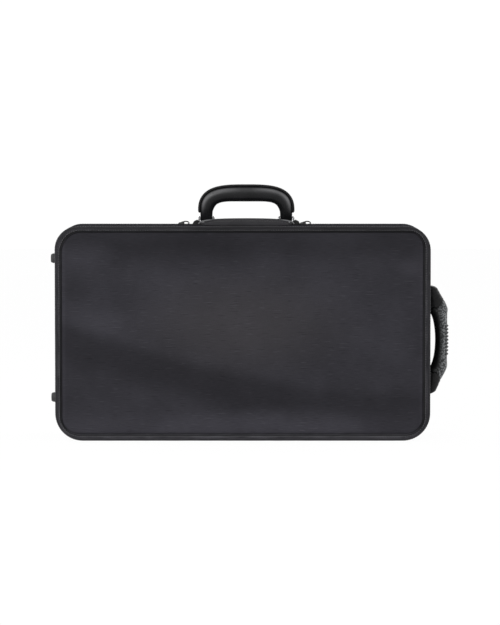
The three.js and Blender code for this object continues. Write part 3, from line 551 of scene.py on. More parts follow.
def threadFinish(name, dark, light):
    f = Finish(name, Specular_IOR_Level=0.4)
    spot = f.place()[0]
    twist = f.grain(spot, 2600.0, 1.0)
    return f.dress(f.blended(twist.spread(0.3, 0.7), dark, light), twist * 0.2 + 0.45, twist, 0.0001, 0.5)


nylonCloth = nylonFinish("nylonCloth", fabricLook, front=True)
backCloth = nylonFinish("backCloth", fabricLook)
bandCloth = nylonFinish("bandCloth", dict(fabricLook, patch=14.0, gloss=0.0))
padCloth = nylonFinish("padCloth", dict(fabricLook, dark=(0.016, 0.0157, 0.0175), light=(0.03, 0.0292, 0.033),
                                        patch=20.0))
tape = tapeFinish("grosgrainTape", tapeLook)
plainTape = tapeFinish("plainTape", tapeLook, lattice=False)
# Near the floor the dark tape is painted paler as painted light, the zip tape darker as painted shade
darkTape = tapeFinish("darkTape", dict(tapeLook, dark=(0.009, 0.009, 0.0105), light=(0.026, 0.0255, 0.029), dust=3.2),
                      lattice=False)
zipTape = tapeFinish("zipTape", dict(tapeLook, dark=(0.003, 0.003, 0.0035), light=(0.009, 0.009, 0.01), rib=0.0009,
                                     gloss=0.0, dust=0.4), lattice=False)
# The top grip's paler colour is a painted highlight
gripRubber = rubberFinish("gripRubber", dict(rubberLook, dark=(0.004, 0.0042, 0.0047), light=(0.011, 0.0113, 0.0125)),
                          rough=0.22, depth=0.00004, specular=0.14,
                          paintedHighlight=dict(dimple=900.0, speckle=0.15, colour=(0.21, 0.21, 0.217)))
# The side grip's paler colour is a painted highlight on its outer face, speckled
sideRubber = rubberFinish("sideRubber", dict(rubberLook, dark=(0.004, 0.0043, 0.0045), light=(0.011, 0.012, 0.0125)),
                          rough=0.36, specular=0.2,
                          paintedHighlight=dict(dimple=360.0, speckle=0.85, colour=(0.3, 0.31, 0.318)))
endRubber = rubberFinish("endRubber", dict(dark=(0.006, 0.0063, 0.0068), light=(0.015, 0.0153, 0.0163), dimple=500.0),
                         specular=0.2)
darkRubber = rubberFinish("darkRubber", dict(dark=(0.005, 0.005, 0.0055), light=(0.012, 0.012, 0.013), dimple=700.0),
                          specular=0.14)
footRubber = rubberFinish("footRubber", dict(dark=(0.03, 0.03, 0.031), light=(0.062, 0.062, 0.064), dimple=700.0),
                          rough=0.5)
steel = steelFinish("nickelPlate", (0.5, 0.5, 0.51), (0.3, 0.295, 0.29))
bracketSteel = steelFinish("bracketSteel", (0.16, 0.16, 0.165), (0.07, 0.07, 0.07))
pinSteel = steelFinish("pinSteel", (0.3, 0.3, 0.31), (0.18, 0.178, 0.175))
darkSteel = steelFinish("darkNickel", (0.03, 0.03, 0.031), (0.011, 0.011, 0.011), metallic=0.0, rough=0.24,
                        specular=0.3)
plush = plushFinish("plushLining", (0.008, 0.009, 0.014), (0.028, 0.031, 0.046))
shell = shellFinish("laminateShell")
ribbon = ribbonFinish("satinRibbon")
thread = threadFinish("blackThread", (0.07, 0.07, 0.075), (0.24, 0.24, 0.25))
zipThread = threadFinish("zipThread", (0.012, 0.012, 0.013), (0.035, 0.035, 0.037))
coil = threadFinish("zipCoil", (0.003, 0.003, 0.0035), (0.012, 0.012, 0.013))
# The cord's paler colour is a painted highlight on the tongue binding's ends
cord = rubberFinish("pipingCord", dict(dark=(0.02, 0.02, 0.022), light=(0.045, 0.045, 0.049), dimple=1200.0), rough=0.4,
                    depth=0.00004, specular=0.2, paintedHighlight=dict(dimple=1200.0, speckle=0.1, colour=(0.2, 0.2, 0.207)))
print("finishes ready")


# Rows of small beads along a line: stitches and zip teeth
stitchLook = dict(pitch=4.2, length=2.7, width=0.75, height=0.55, sink=0.0)


def beadTree():
    group = bpy.data.node_groups.new("beadRow", "GeometryNodeTree")
    face = group.interface
    face.new_socket("Geometry", in_out="INPUT", socket_type="NodeSocketGeometry")
    sizes = {label: face.new_socket(label, in_out="INPUT", socket_type="NodeSocketFloat")
             for label in stitchLook}
    sizes["finish"] = face.new_socket("finish", in_out="INPUT", socket_type="NodeSocketMaterial")
    face.new_socket("Geometry", in_out="OUTPUT", socket_type="NodeSocketGeometry")
    tree = Tree(group)
    start = tree.nodes.new("NodeGroupInput")
    given = {label: Wire(tree, start.outputs[label]) for label in ("Geometry", *sizes)}
    line = tree.node("GeometryNodeMeshToCurve", values={"Mesh": given["Geometry"]})
    spaced = tree.node("GeometryNodeResampleCurve", {"mode": "LENGTH"}, {"Curve": line, "Length": given["pitch"]})
    outwards = tree.node("GeometryNodeInputNamedAttribute", {"data_type": "FLOAT_VECTOR"}, {"Name": "outwards"})
    drop = tree.node("ShaderNodeVectorMath", {"operation": "SCALE"}, {0: outwards, "Scale": given["sink"]})
    sunk = tree.node("GeometryNodeSetPosition", values={"Geometry": spaced, "Offset": drop})
    bead = tree.node("GeometryNodeMeshUVSphere", values={"Segments": 6, "Rings": 4, "Radius": 0.5})
    size = tree.node("ShaderNodeCombineXYZ", values={
        "X": given["length"], "Y": given["width"], "Z": given["height"]})
    shaped = tree.node("GeometryNodeTransform", values={"Geometry": bead, "Scale": size})
    tangent = tree.node("GeometryNodeInputTangent")
    turn = tree.node("FunctionNodeAlignRotationToVector", {"axis": "X"}, {"Vector": tangent})
    lean = tree.node("FunctionNodeAlignRotationToVector", {"axis": "Z", "pivot_axis": "X"},
                     {"Rotation": turn, "Vector": outwards})
    placed = tree.node("GeometryNodeInstanceOnPoints", values={"Points": sunk, "Instance": shaped, "Rotation": lean})
    real = tree.node("GeometryNodeRealizeInstances", values={"Geometry": placed})
    done = tree.node("GeometryNodeSetMaterial", values={"Geometry": real, "Material": given["finish"]})
    tree.links.new(done.out, tree.nodes.new("NodeGroupOutput").inputs[0])
    return group, {label: socket.identifier for label, socket in sizes.items()}


beadRow, beadInputs = beadTree()


# Beads along (line, outward directions, closed) rows
def beadPiece(name, lines, material, look, body, slot):
    points, edges, outs = [], [], []
    for line, outward, closed in lines:
        first = len(points)
        points += [tuple(point) for point in line]
        outs += [tuple(out) for out in outward]
        edges += [(first + i, first + i + 1) for i in range(len(line) - 1)]
        if closed:
            edges.append((first + len(line) - 1, first))
    mesh = bpy.data.meshes.new(name)
    mesh.from_pydata((np.array(points) * toMetres).tolist(), edges, [])
    layer = mesh.attributes.new("outwards", "FLOAT_VECTOR", "POINT")
    layer.data.foreach_set("vector", np.array(outs, float).ravel())
    path = placedObject(name + "Path", mesh)
    modifier = path.modifiers.new("beads", "NODES")
    modifier.node_group = beadRow
    for label, value in look.items():
        modifier[beadInputs[label]] = value * toMetres
    modifier[beadInputs["finish"]] = material
    graph = bpy.context.evaluated_depsgraph_get()
    made = bpy.data.meshes.new_from_object(path.evaluated_get(graph))
    bpy.data.objects.remove(path)
    for face in made.polygons:
        face.use_smooth = True
    settle(placedObject(name, made), body, None, slot)


# Line round the outline at an inset and depth, with its outward directions
def outlineLine(inset, y, facing):
    points, outs = outlineRing(inset)
    line = [(x, y, z) for x, z in points]
    away = [(ox * facing[0], facing[1], oz * facing[0]) for ox, oz in outs]
    return line, away, True


# Cover: bindings, pipings, panels, side bands
bindingLook = dict(stitches=(0.16, 0.93), stitchSink=0.12, wave=26, rise=0.22, seed=4.0)
pipingLook = dict(wave=22, rise=0.25, seed=8.0, sides=12)
bandLook = dict(wave=45, rise=0.25, seed=12.0, steps=7)


# Tape round the rolled edge, with two rows of stitches
def bindingOf(side, faceY, body, label, node):
    outside = rollSection(0, faceY, side, case["roll"])
    inside = rollSection(case["cover"], faceY - side * case["cover"], side, case["roll"] - case["cover"], 5)
    section = [*outside, *inside[::-1]]
    settle(outlineBand(label + "BindingTape", section, bindingLook, side), body, tape, "binding", node)
    lines = []
    for share in bindingLook["stitches"]:
        angle = share * math.pi / 2
        inset = case["roll"] * (1 - math.cos(angle))
        y = faceY - side * case["roll"] * (1 - math.sin(angle))
        lines.append(outlineLine(inset, y, (math.cos(angle), side * math.sin(angle))))
    beadPiece(label + "BindingStitches", lines, thread, dict(stitchLook, sink=bindingLook["stitchSink"]), body,
              "binding")


# Covered cord in the seam between binding and panel
def pipingOf(side, faceY, body, label, node):
    centreY = faceY - side * (case["cover"] - case["pipingRadius"])
    section = [(case["pipingInset"] + case["pipingRadius"] * math.cos(a), centreY + case["pipingRadius"] * math.sin(a))
               for a in turns(pipingLook["sides"])]
    settle(outlineBand(label + "PipingCord", section, pipingLook, side), body, darkTape, "binding", node)


# Nylon band round the side walls, from the zip to the binding
def gussetOf(side, faceY, body, label, node):
    near = case["parting"] + side * (case["zipHalf"] + case["gap"])
    far = faceY - side * (case["roll"] + case["gap"])
    outside = [(0, near + (far - near) * i / bandLook["steps"]) for i in range(bandLook["steps"] + 1)]
    inside = [(case["cover"], y) for _, y in outside[::-1]]
    piece = outlineBand(label + "SideBand", [*outside, *inside], bandLook, side)
    settle(piece, body, bandCloth, "nylon", node)


panelLook = dict(crown=2.5, edge=1.0, rows=20, wave=0.5, waveSize=70, waveSeed=2.0, dimple=0.18, dimpleSize=19,
                 dimpleSeed=6.0, first=0.012, span=0.975, spacing=1.25, freeFrom=0.08)
# The panel's turned-in edge as further inset, height by the side's direction and share of the edge's height
panelEdge = [(0.9, -1.5, 0), (0.1, -1.1, 0), (0.1, -0.4, 0), (0.9, 0, 0.35)]
# Creases by the seams as start, end, width and height
creases = [((268, 318), (296, 330), 5.0, 0.5), ((262, 326), (284, 343), 4.0, -0.4), ((-300, 250), (-262, 262), 9, 0.3),
           ((-296, 338), (-262, 350), 7, -0.35), ((-120, 346), (40, 350), 6.0, -0.2),
           ((150, 348), (290, 344), 5, -0.25), ((-300, 24), (-270, 45), 7, 0.3), ((240, 22), (300, 42), 8, 0.3)]


# How far the creases lift or sink the panel at a place
def creaseAt(x, z):
    total = 0.0
    for (x0, z0), (x1, z1), width, height in creases:
        line = np.array((x1 - x0, z1 - z0), float)
        share = np.clip(((x - x0) * line[0] + (z - z0) * line[1]) / (line @ line), 0, 1)
        away = math.hypot(x - x0 - share * line[0], z - z0 - share * line[1])
        total += height * bell(away, 0, width)
    return total


# Padded panel, crowned towards its middle, with soft waves and small creases by its seams
def panelOf(side, faceY, body, label, node, look):
    inset = case["panelInset"]
    reach = case["height"] / 2 - inset
    section = [(inset + more, faceY + side * (up + look["edge"] * share), 0) for more, up, share in panelEdge]
    for i in range(look["rows"]):
        share = (i + 1) / look["rows"]
        drawn = look["first"] + look["span"] * share ** look["spacing"]
        rise = look["crown"] * (1 - (1 - drawn) ** 2)
        section.append((inset + drawn * reach, faceY + side * rise, min(drawn / look["freeFrom"], 1)))
    rows = []
    for insetHere, y, free in section:
        points, _ = outlineRing(insetHere)
        row = []
        for x, z in points:
            lift = 0.0
            if free > 0:
                lift = ripple((x, 0, z), look["waveSize"], look["wave"], look["waveSeed"] + side) * free
                lift += ripple((x, 0, z), look["dimpleSize"], look["dimple"], look["dimpleSeed"])
                lift += creaseAt(x, z) if side < 0 else 0.0
            row.append((x, y + side * lift, z))
        rows.append(row)
    piece = gridPiece(label + "PanelCloth", rows)
    flatSurface(piece, 0, 2)
    settle(piece, body, nylonCloth if side < 0 else backCloth, "nylon", node, fill=0.9)


for side, faceY, body, label, look in (
        (-1, frontY, "lid", "front", panelLook),
        (1, backY, "base", "back", dict(panelLook, crown=0.0, wave=0.0, dimple=0.1, edge=0.0))):
    bindingOf(side, faceY, body, label, label + "_binding")
    pipingOf(side, faceY, body, label, label + "_piping")
    gussetOf(side, faceY, body, label, body + "_gusset")
    panelOf(side, faceY, body, label, label + "_panel", look)
print("cover ready")


# Zips and hinge
zipLook = dict(topReach=95, start=19.9, tape=1.1, bead=2.2, crown=0.25, toothIn=1.5, toothSunk=0.15, seamIn=1.6,
               seamSunk=0.45)
toothLook = dict(pitch=1.7, length=1.0, width=3.0, height=1.5, sink=0.0)
zipStitchLook = dict(pitch=3.3, length=2.4, width=0.45, height=0.4, sink=0.0)


# Stations of the outline round a corner, as place and outward direction; the angles start straight down
def cornerStations(hand, radius, centreZ, angles):
    centreX = case["width"] / 2 - radius
    return [(hand * (centreX + radius * math.sin(a)), centreZ - radius * math.cos(a), hand * math.sin(a), -math.cos(a))
            for a in angles]


# Stations from just above a bottom corner, up one end and along the top to the handle
def zipStations(hand):
    low, quarter = case["corner"], math.pi / 2
    stations = cornerStations(hand, low, low, np.linspace(zipLook["start"] / low, quarter, 9))
    radius = low - case["edgeTighter"][1 if hand > 0 else 2]
    high = case["height"] - radius
    stations += [(hand * case["width"] / 2, z, hand, 0.0) for z in np.linspace(low, high, 23)[1:-1]]
    stations += cornerStations(hand, radius, high, np.linspace(quarter, 2 * quarter, 15))
    startX, endX = hand * (case["width"] / 2 - radius), handlePlace["x"] + hand * zipLook["topReach"]
    return stations + [(x, case["height"], 0.0, 1.0) for x in np.linspace(startX, endX, 16)[1:]]


# One half of a zip: its tape with a raised edge, teeth and stitches
def zipOf(hand, side, body, label, node):
    stations = zipStations(hand)
    edge = case["parting"] + side * case["gap"]
    inner = case["parting"] + side * zipLook["bead"]
    far = case["parting"] + side * case["zipHalf"]
    under, top = -case["cover"], -case["cover"] + zipLook["tape"]
    crown = (top + zipLook["crown"], (inner + far) / 2)
    section = [(under, edge), (top, edge), (top, inner), crown, (top, far), (under, far)]
    rows = [[(x + ox * out, y, z + oz * out) for x, z, ox, oz in stations] for out, y in section]
    rows = np.array(rows).transpose(1, 0, 2)
    lengths = [*runOf(rows[:, 1], closed=False), 0]
    piece = gridPiece(label + "ZipTape", rows, along=runOf(section), across=lengths)
    turnSurface(piece)
    settle(piece, body, zipTape, "zip_nylon", node)
    outs = [(ox, 0, oz) for _, _, ox, oz in stations]
    for part, away, sunk, material, look in (
            ("ZipTeeth", case["gap"] + zipLook["toothIn"], zipLook["toothSunk"], coil, toothLook),
            ("ZipStitches", case["zipHalf"] - zipLook["seamIn"], zipLook["seamSunk"], zipThread, zipStitchLook)):
        line = [(x - ox * sunk, case["parting"] + side * away, z - oz * sunk) for x, z, ox, oz in stations]
        beadPiece(label + part, [(line, outs, False)], material, look, body, "zip_nylon")


for hand, handName in ((-1, "left"), (1, "right")):
    for side, body in ((-1, "lid"), (1, "base")):
        zipOf(hand, side, body, handName + body.capitalize(), f"zip_{body}_{handName}")


hingeLook = dict(cornerReach=14.0, thick=1.2, bendStart=-0.0072, bendEnd=-0.0128)


# Hinge strip under the parting line, one cloth
def hingeStrip(look):
    corner = case["corner"]
    angles = np.linspace(0, look["cornerReach"] / corner, 4)
    cornerX = case["width"] / 2 - corner
    middle = [(x, 0.0, 0.0, -1.0) for x in np.linspace(-cornerX, cornerX, 60)[1:-1]]
    line = [*cornerStations(-1, corner, corner, angles)[::-1], *middle, *cornerStations(1, corner, corner, angles)]
    ys = np.linspace(case["parting"] + case["zipHalf"], case["parting"] - case["zipHalf"], 13)
    section = [*[(0.0, y) for y in ys], *[(-look["thick"], y) for y in ys[::-1]]]
    rows = np.array([[(x + ox * out, y, z + oz * out) for out, y in section] for x, z, ox, oz in line])
    lengths = [*runOf(rows[:, 0], closed=False), 0]
    piece = gridPiece("hingeStripCloth", rows, along=runOf(section), across=lengths)
    piece.data.materials.append(plainTape)
    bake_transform(piece)
    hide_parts("hinge_strip_base", "hinge_strip_lid")


hingeStrip(hingeLook)
for node, name in (("zip_stop_left", "zipStopleft"), ("zip_stop_right", "zipStopright")):
    settle(copyOfNode(node, name, 0.3), "base", steel, "steel", node)
print("zips and hinge ready")


# Top handle
gripLook = dict(legHalf=10.3, topHalf=12.4, endDepth=5.8, topDepth=12.0, spine=3.5, spineDepth=8.0, spineStart=9.3,
                fill=0.7, swell=0.8, sides=40, fillet=1.1, filletFrom=0.3, filletOver=0.68, seat=0.9,
                belly=1.3, bellyHalf=46, bellyFrom=0.9, thinnest=1.2, spineFade=3.0, spineThin=0.45, spineNarrow=0.86,
                spineProud=0.2, spineSides=20, spineFill=0.55, footAngles=(0.25, 0.6, 1.0, 1.35), drawnSteps=400,
                spacing=2.0)
# Where the grip gets its painted highlight: round the section, at the shoulders and along the top
highlightLook = dict(angle=58, reach=17, shoulder=0.68, shoulderReach=0.3, middle=0.26, middleHalf=8, rise=40, power=4)


# Middle line of the handle, a filled-out arch from pin to pin
def handleLine(steps):
    line = []
    for i in range(steps + 1):
        angle = i / steps * math.pi
        up = max(math.sin(angle), 0) ** (2 / handlePlace["topPower"])
        line.append((-filled(math.cos(angle), 2 / handlePlace["legPower"]) * handlePlace["legSpacing"] / 2,
                     up * handlePlace["rise"]))
    return line


# The same line in even steps
def evenLine(line, spacing):
    line = np.array(line, float)
    lengths = runOf(line, closed=False)
    count = int(lengths[-1] / spacing)
    marks = np.linspace(0, lengths[-1], count + 1)
    return [(np.interp(m, lengths, line[:, 0]), np.interp(m, lengths, line[:, 1])) for m in marks]


# Direction square to a line at one of its points, in x and z
def outwardsAt(line, i):
    before, after = line[max(i - 1, 0)], line[min(i + 1, len(line) - 1)]
    dx, dz = after[0] - before[0], after[-1] - before[-1]
    size = math.hypot(dx, dz)
    return -dz / size, dx / size


# Rings round the handle's line; shapeAt gives half width, half depth and outward shift
def handleRings(line, shapeAt, sides, power):
    rings = []
    for i, (x, z) in enumerate(line):
        outX, outZ = outwardsAt(line, i)
        width, depth, shift = shapeAt(clamped(z / handlePlace["rise"]), x, z)
        ring = []
        for angle in midTurns(sides):
            push = shift + width * filled(math.cos(angle), power)
            ring.append((handlePlace["x"] + x + outX * push, handlePlace["y"] + depth * filled(math.sin(angle), power),
                         handlePlace["pivotZ"] + z + outZ * push))
        rings.append(ring)
    return rings


# How much painted highlight each point of a piece gets, read by its finish
def paintedHighlightValues(piece, values):
    layer = piece.data.attributes.new("paintedHighlight", "FLOAT", "POINT")
    layer.data.foreach_set("value", values)


# Moulded grip with round feet on its pins, with a painted highlight at its shoulders and along its top
def topGrip(line, look, wearAndPaintedHighlight):
    foot = [(-handlePlace["legSpacing"] / 2, -look["endDepth"] * math.cos(a)) for a in look["footAngles"]]
    otherFoot = [(-x, z) for x, z in foot[::-1]]
    whole = [*foot, *line, *otherFoot]

    def gripShape(rise, x, z):
        depth = mixed(look["endDepth"], look["topDepth"], rise ** look["swell"])
        if z < 0:
            depth *= math.sqrt(max(1 - (z / look["endDepth"]) ** 2, 0.0))
        fillet = look["fillet"] * math.sin(math.pi * clamped((rise - look["filletFrom"]) / look["filletOver"]))
        if rise > look["bellyFrom"]:
            fillet += look["belly"] / 2 * max(1 - (x / look["bellyHalf"]) ** 2, 0)
        return mixed(look["legHalf"], look["topHalf"], rise) + fillet, max(depth, look["thinnest"]), -fillet

    grip = gridPiece("handleGripMoulded", handleRings(whole, gripShape, look["sides"], look["fill"]), sharpAngle=60)
    highlight = []
    for x, z in whole:
        share = clamped(z / handlePlace["rise"])
        shoulder = bell(share, wearAndPaintedHighlight["shoulder"], wearAndPaintedHighlight["shoulderReach"]) if abs(x) > look["bellyHalf"] else 0.0
        top = mixed(wearAndPaintedHighlight["middle"], 1.0, clamped((abs(x) - wearAndPaintedHighlight["middleHalf"]) / wearAndPaintedHighlight["rise"])) * share ** wearAndPaintedHighlight["power"]
        for angle in midTurns(look["sides"]):
            turn = math.degrees(min(angle, 2 * math.pi - angle))
            highlight.append(max(shoulder, top) * bell(turn, wearAndPaintedHighlight["angle"], wearAndPaintedHighlight["reach"]))
    paintedHighlightValues(grip, highlight)
    settle(grip, "handle", gripRubber, "grip_rubber", "handle_grip")


# Strap set over the grip
def topSpine(line, look):
    strap = [(x, z) for x, z in line if z > look["spineStart"]]

    def spineShape(rise, x, z):
        base = mixed(look["legHalf"], look["topHalf"], rise)
        fade = min((z - look["spineStart"]) / look["spineFade"], 1.0)
        thick = (look["spine"] * mixed(look["spineThin"], 1.0, fade) + look["seat"]) / 2
        shift = base + look["spineProud"] - look["seat"] + thick
        return thick, look["spineDepth"] * mixed(look["spineNarrow"], 1.0, fade), shift

    spine = gridPiece("handleSpineStrap", handleRings(strap, spineShape, look["spineSides"], look["spineFill"]),
                      sharpAngle=60)
    settle(spine, "handle", darkRubber, "dark_rubber", "handle_spine")


gripLine = evenLine(handleLine(gripLook["drawnSteps"]), gripLook["spacing"])
topGrip(gripLine, gripLook, highlightLook)
topSpine(gripLine, gripLook)


# Saddle with low cheeks that close the front of its leg notches
saddleLook = dict(front=-2.0, back=2.6, cheek=[(80.4, 0.3), (80.4, 7.2), (81.8, 8.5), (85.4, 8.8), (85.4, 0.3)])
saddleParts = [copyOfNode("handle_saddle", "saddle", 1.1, 3)]
for hand in (-1, 1):
    saddleParts.append(gridPiece("cheek", [
        [(handlePlace["x"] + hand * x, y, case["height"] + z) for x, z in saddleLook["cheek"]]
        for y in (saddleLook["front"], saddleLook["back"])]))
settle(joinPieces("handleSaddleBase", saddleParts), "base", darkRubber, "dark_rubber", "handle_saddle")
for hand in ("left", "right"):
    for node, bevel, metal in ((f"handle_bracket_{hand}", 0.35, bracketSteel), (f"handle_pin_{hand}", 0.4, pinSteel)):
        settle(copyOfNode(node, styled(node), bevel), "base", metal, "steel", node)
print("top handle ready")


# Tongue
tongueLook = dict(halfWidth=82, height=10.4, edge=1.0, back=-4.8, front=-70.2, bindingRadius=1.3, power=3.4,
                  narrow=0.72, sunk=-1.0, voxel=2.4, cap=1.2, crown=0.14, paintedHighlightFrom=56, paintedHighlightOver=10,
                  stitchRows=(3.4, 34.0), stitchHalf=73, bindingGap=0.3)


# Arch across the tongue at a depth
def tongueArch(half, height, y, low=0.3, steps=60):
    arch = []
    for i in range(steps + 1):
        angle = math.pi * (1 - i / steps)
        x = filled(math.cos(angle), 2 / tongueLook["power"])
        z = abs(math.sin(angle)) ** (2 / tongueLook["power"]) + tongueLook["crown"] * (1 - x * x)
        arch.append((handlePlace["x"] + x * half, y, case["height"] + low + z * height))
    return arch


swellLook = dict(pressure=4.0, quality=5, frames=20, relaxed=2)


# Pressure swells a padded piece; no point moves further than the cap
def swell(piece, voxel, cap):
    remesh(piece, voxel)
    bake(piece)
    count = len(piece.data.vertices)
    start = np.zeros(count * 3)
    piece.data.vertices.foreach_get("co", start)
    cloth = piece.modifiers.new("cloth", "CLOTH")
    cloth.settings.use_pressure = True
    cloth.settings.uniform_pressure_force = swellLook["pressure"]
    cloth.settings.effector_weights.gravity = 0
    cloth.settings.quality = swellLook["quality"]
    cloth.point_cache.frame_start, cloth.point_cache.frame_end = 1, swellLook["frames"]
    scene = bpy.context.scene
    for step in range(1, swellLook["frames"] + 1):
        scene.frame_set(step)
    graph = bpy.context.evaluated_depsgraph_get()
    end = np.zeros(count * 3)
    piece.evaluated_get(graph).data.vertices.foreach_get("co", end)
    move = (end - start).reshape(-1, 3)
    length = np.linalg.norm(move, axis=1, keepdims=True)
    move *= np.minimum(1, cap * toMetres / np.maximum(length, 1e-9))
    piece.modifiers.clear()
    scene.frame_set(1)
    piece.data.vertices.foreach_set("co", start + move.ravel())
    relax(piece, swellLook["relaxed"])
    finer = piece.modifiers.new("finer", "SUBSURF")
    finer.levels = finer.render_levels = 1
    bake(piece)
    finishMesh(piece.data, 180)


# Height of a piece's upper face over a place, in millimetres
def topOf(piece, x, y):
    found, spot, _, _ = piece.ray_cast((x * toMetres, y * toMetres, 1.0), (0, 0, -1))
    return spot.z / toMetres if found else case["height"]


# Padded tongue, sewn down along its front and sides, with two rows of stitches
def tonguePad(look):
    inner = look["cap"]
    rows = []
    for share in np.linspace(0, 1, 18):
        wide = (look["halfWidth"] - inner) * mixed(look["narrow"], 1, math.sqrt(share))
        high = mixed(look["edge"], look["height"] - look["edge"] - inner, math.sin(share * math.pi / 2))
        y = mixed(look["front"] + inner, look["back"] - inner, share)
        rows.append(tongueArch(wide, high - look["sunk"], y, look["sunk"]))
    pad = gridPiece("tonguePad", rows)
    swell(pad, look["voxel"], look["cap"])
    flatSurface(pad, 0, 1)
    lines = []
    ends = handlePlace["x"] - look["stitchHalf"], handlePlace["x"] + look["stitchHalf"]
    for away in look["stitchRows"]:
        y = look["back"] - away
        line = [(x, y, topOf(pad, x, y) + 0.1) for x in np.linspace(*ends, 60)]
        lines.append((line, [(0, 0, 1)] * len(line), False))
    beadPiece("tongueStitches", lines, thread, dict(stitchLook, width=0.6, height=0.4), "lid", "binding")
    settle(pad, "lid", padCloth, "nylon", "handle_tongue", fill=0.6)


# Binding round the tongue's back edge, with a painted highlight at both ends
def tongueEdge(look):
    y = look["back"] + look["bindingGap"] + look["bindingRadius"]
    line = tongueArch(look["halfWidth"], look["height"] - look["bindingRadius"], y)[1:-1]
    rings = []
    for i, (x, _, z) in enumerate(line):
        upX, upZ = outwardsAt(line, i)
        rings.append([(x + upX * look["bindingRadius"] * math.cos(a), y + look["bindingRadius"] * math.sin(a),
                       z + upZ * look["bindingRadius"] * math.cos(a)) for a in turns(12)])
    edge = gridPiece("tongueEdgeTape", rings)
    turnSurface(edge)
    away = [abs(vertex.co.x / toMetres - handlePlace["x"]) for vertex in edge.data.vertices]
    paintedHighlightValues(edge, [clamped((x - look["paintedHighlightFrom"]) / look["paintedHighlightOver"]) for x in away])
    settle(edge, "lid", cord, "binding", "tongue_binding")


tonguePad(tongueLook)
tongueEdge(tongueLook)
print("tongue ready")


# Side handle
sideLook = dict(length=188, centre=166, gap=13.9, gapShare=0.92, grip=109, gripDepth=16, endDepth=19, y=30,
                ridges=9, pitch=6.1, ridge=2.0, ridgeHalf=1.7, ridgeReach=1.12, ridgePaintedHighlight=0.25, notch=16.0,
                notchFrom=0.46, notchLength=18, hump=2.2, humpAt=0.27, humpHalf=0.17, groove=0.9, grooveHalf=1.4,
                jointGap=0.3, sides=44, gripFill=0.74, endFill=0.66, wallGap=0.3, bands=5, bandDepth=0.5, heel=1.1,
                heelAt=0.8, heelReach=0.035, endNotch=0.55, endWiden=0.3)
# Outer face as (height from the middle, distance from the wall)
sideFace = [(-94, 2), (-92.5, 9), (-90.5, 13.5), (-87.5, 16.7), (-77, 20.7), (-70, 23.8), (-56, 31.5), (-49, 34.6),
            (-44, 35.4), (-35, 34.9), (0, 35.6), (35, 35.1), (46.5, 35.2), (53.4, 36.2), (57, 35), (65.6, 31.5),
            (79.5, 23.1), (86.5, 20), (90, 17.6), (92.5, 14), (94, 6)]


# Distances of the side handle's outer and inner faces from the wall, by height from its middle
def sideOuter(height):
    return float(np.interp(height, [h for h, _ in sideFace], [out for _, out in sideFace]))


def sideInner(height, look):
    share = abs(height) / (look["grip"] / 2 * look["gapShare"])
    return look["wallGap"] + look["gap"] * math.sqrt(max(1 - share ** 2, 0))


# How far the joint between grip and end is drawn towards the end: a long outer tip and a small inner hump
def notchAt(share, look):
    tip = max(share - look["notchFrom"], 0) / (1 - look["notchFrom"])
    hump = max(1 - abs(share - look["humpAt"]) / look["humpHalf"], 0)
    return look["notch"] * tip + look["hump"] * hump


# Rings along the side handle from (height, notch, shrink, half depth) steps
def sideRings(steps, innerAt, look, power):
    rings = []
    for height, notch, shrink, halfDepth in steps:
        ring = []
        for angle in midTurns(look["sides"]):
            reach = filled(math.cos(angle), power)
            here = height + math.copysign(notch * notchAt((reach + 1) / 2, look), height)
            inner, outer = innerAt(here) + shrink, sideOuter(here) - shrink
            ring.append((case["width"] / 2 + (inner + outer) / 2 + (outer - inner) / 2 * reach,
                         look["y"] + (halfDepth - shrink) * filled(math.sin(angle), power), look["centre"] + here))
        rings.append(ring)
    return rings


# Grip that thins at both ends, with a speckled painted highlight on its outer face
def sideGrip(look):
    half = look["grip"] / 2
    drawn = half - look["notchLength"]
    steps = []
    for share in np.linspace(0, 1, 34):
        height = mixed(0.01, half, share)
        shrink = look["groove"] * max((height - half) / look["grooveHalf"] + 1, 0)
        steps.append((height, max((height - drawn) / (half - drawn), 0), shrink, look["gripDepth"]))
    steps.append((half, 1.0, look["groove"] * 1.6, look["gripDepth"]))
    whole = [(-height, notch, shrink, depth) for height, notch, shrink, depth in steps[::-1]] + steps
    fill = look["gripFill"]
    grip = gridPiece("sideGripMoulded", sideRings(whole, lambda h: sideInner(h, look), look, fill), sharpAngle=60)
    outer = [clamped((filled(math.cos(angle), fill) + 0.4) / 0.9) for angle in midTurns(look["sides"])]
    paintedHighlightValues(grip, [share * share * (3 - 2 * share) for share in outer] * len(whole))
    settle(grip, "base", sideRubber, "grip_rubber", "side_handle_grip")


# Two end pieces with soft bands and a heel
def sideEnds(look):
    start, end = look["grip"] / 2 + look["jointGap"], look["length"] / 2
    steps = [(start, 1.0, look["groove"] * 1.6, look["gripDepth"]), (start, 1.0, look["groove"], look["gripDepth"])]
    for share in np.linspace(0.04, 1, 40):
        height = mixed(start, end, share)
        depth = mixed(look["gripDepth"], look["endDepth"], min(share / look["endWiden"], 1))
        wave = 0.5 - 0.5 * math.cos(share * look["bands"] * 2 * math.pi)
        bands = look["bandDepth"] * wave if share > 0.2 else 0.0
        heel = look["heel"] * bell(share, look["heelAt"], look["heelReach"])
        steps.append((height, max(1 - share / look["endNotch"], 0), bands + heel, depth))
    steps.append((end, 0, 3.0, look["endDepth"]))
    for hand, label in ((1, "Upper"), (-1, "Lower")):
        turned = [(hand * height, notch, shrink, depth) for height, notch, shrink, depth in steps]
        rings = sideRings(turned, lambda h: look["wallGap"], look, look["endFill"])
        piece = gridPiece("sideHandleEnd" + label, rings, sharpAngle=60)
        settle(piece, "base", endRubber, "dark_rubber", f"side_handle_end_{label.lower()}")


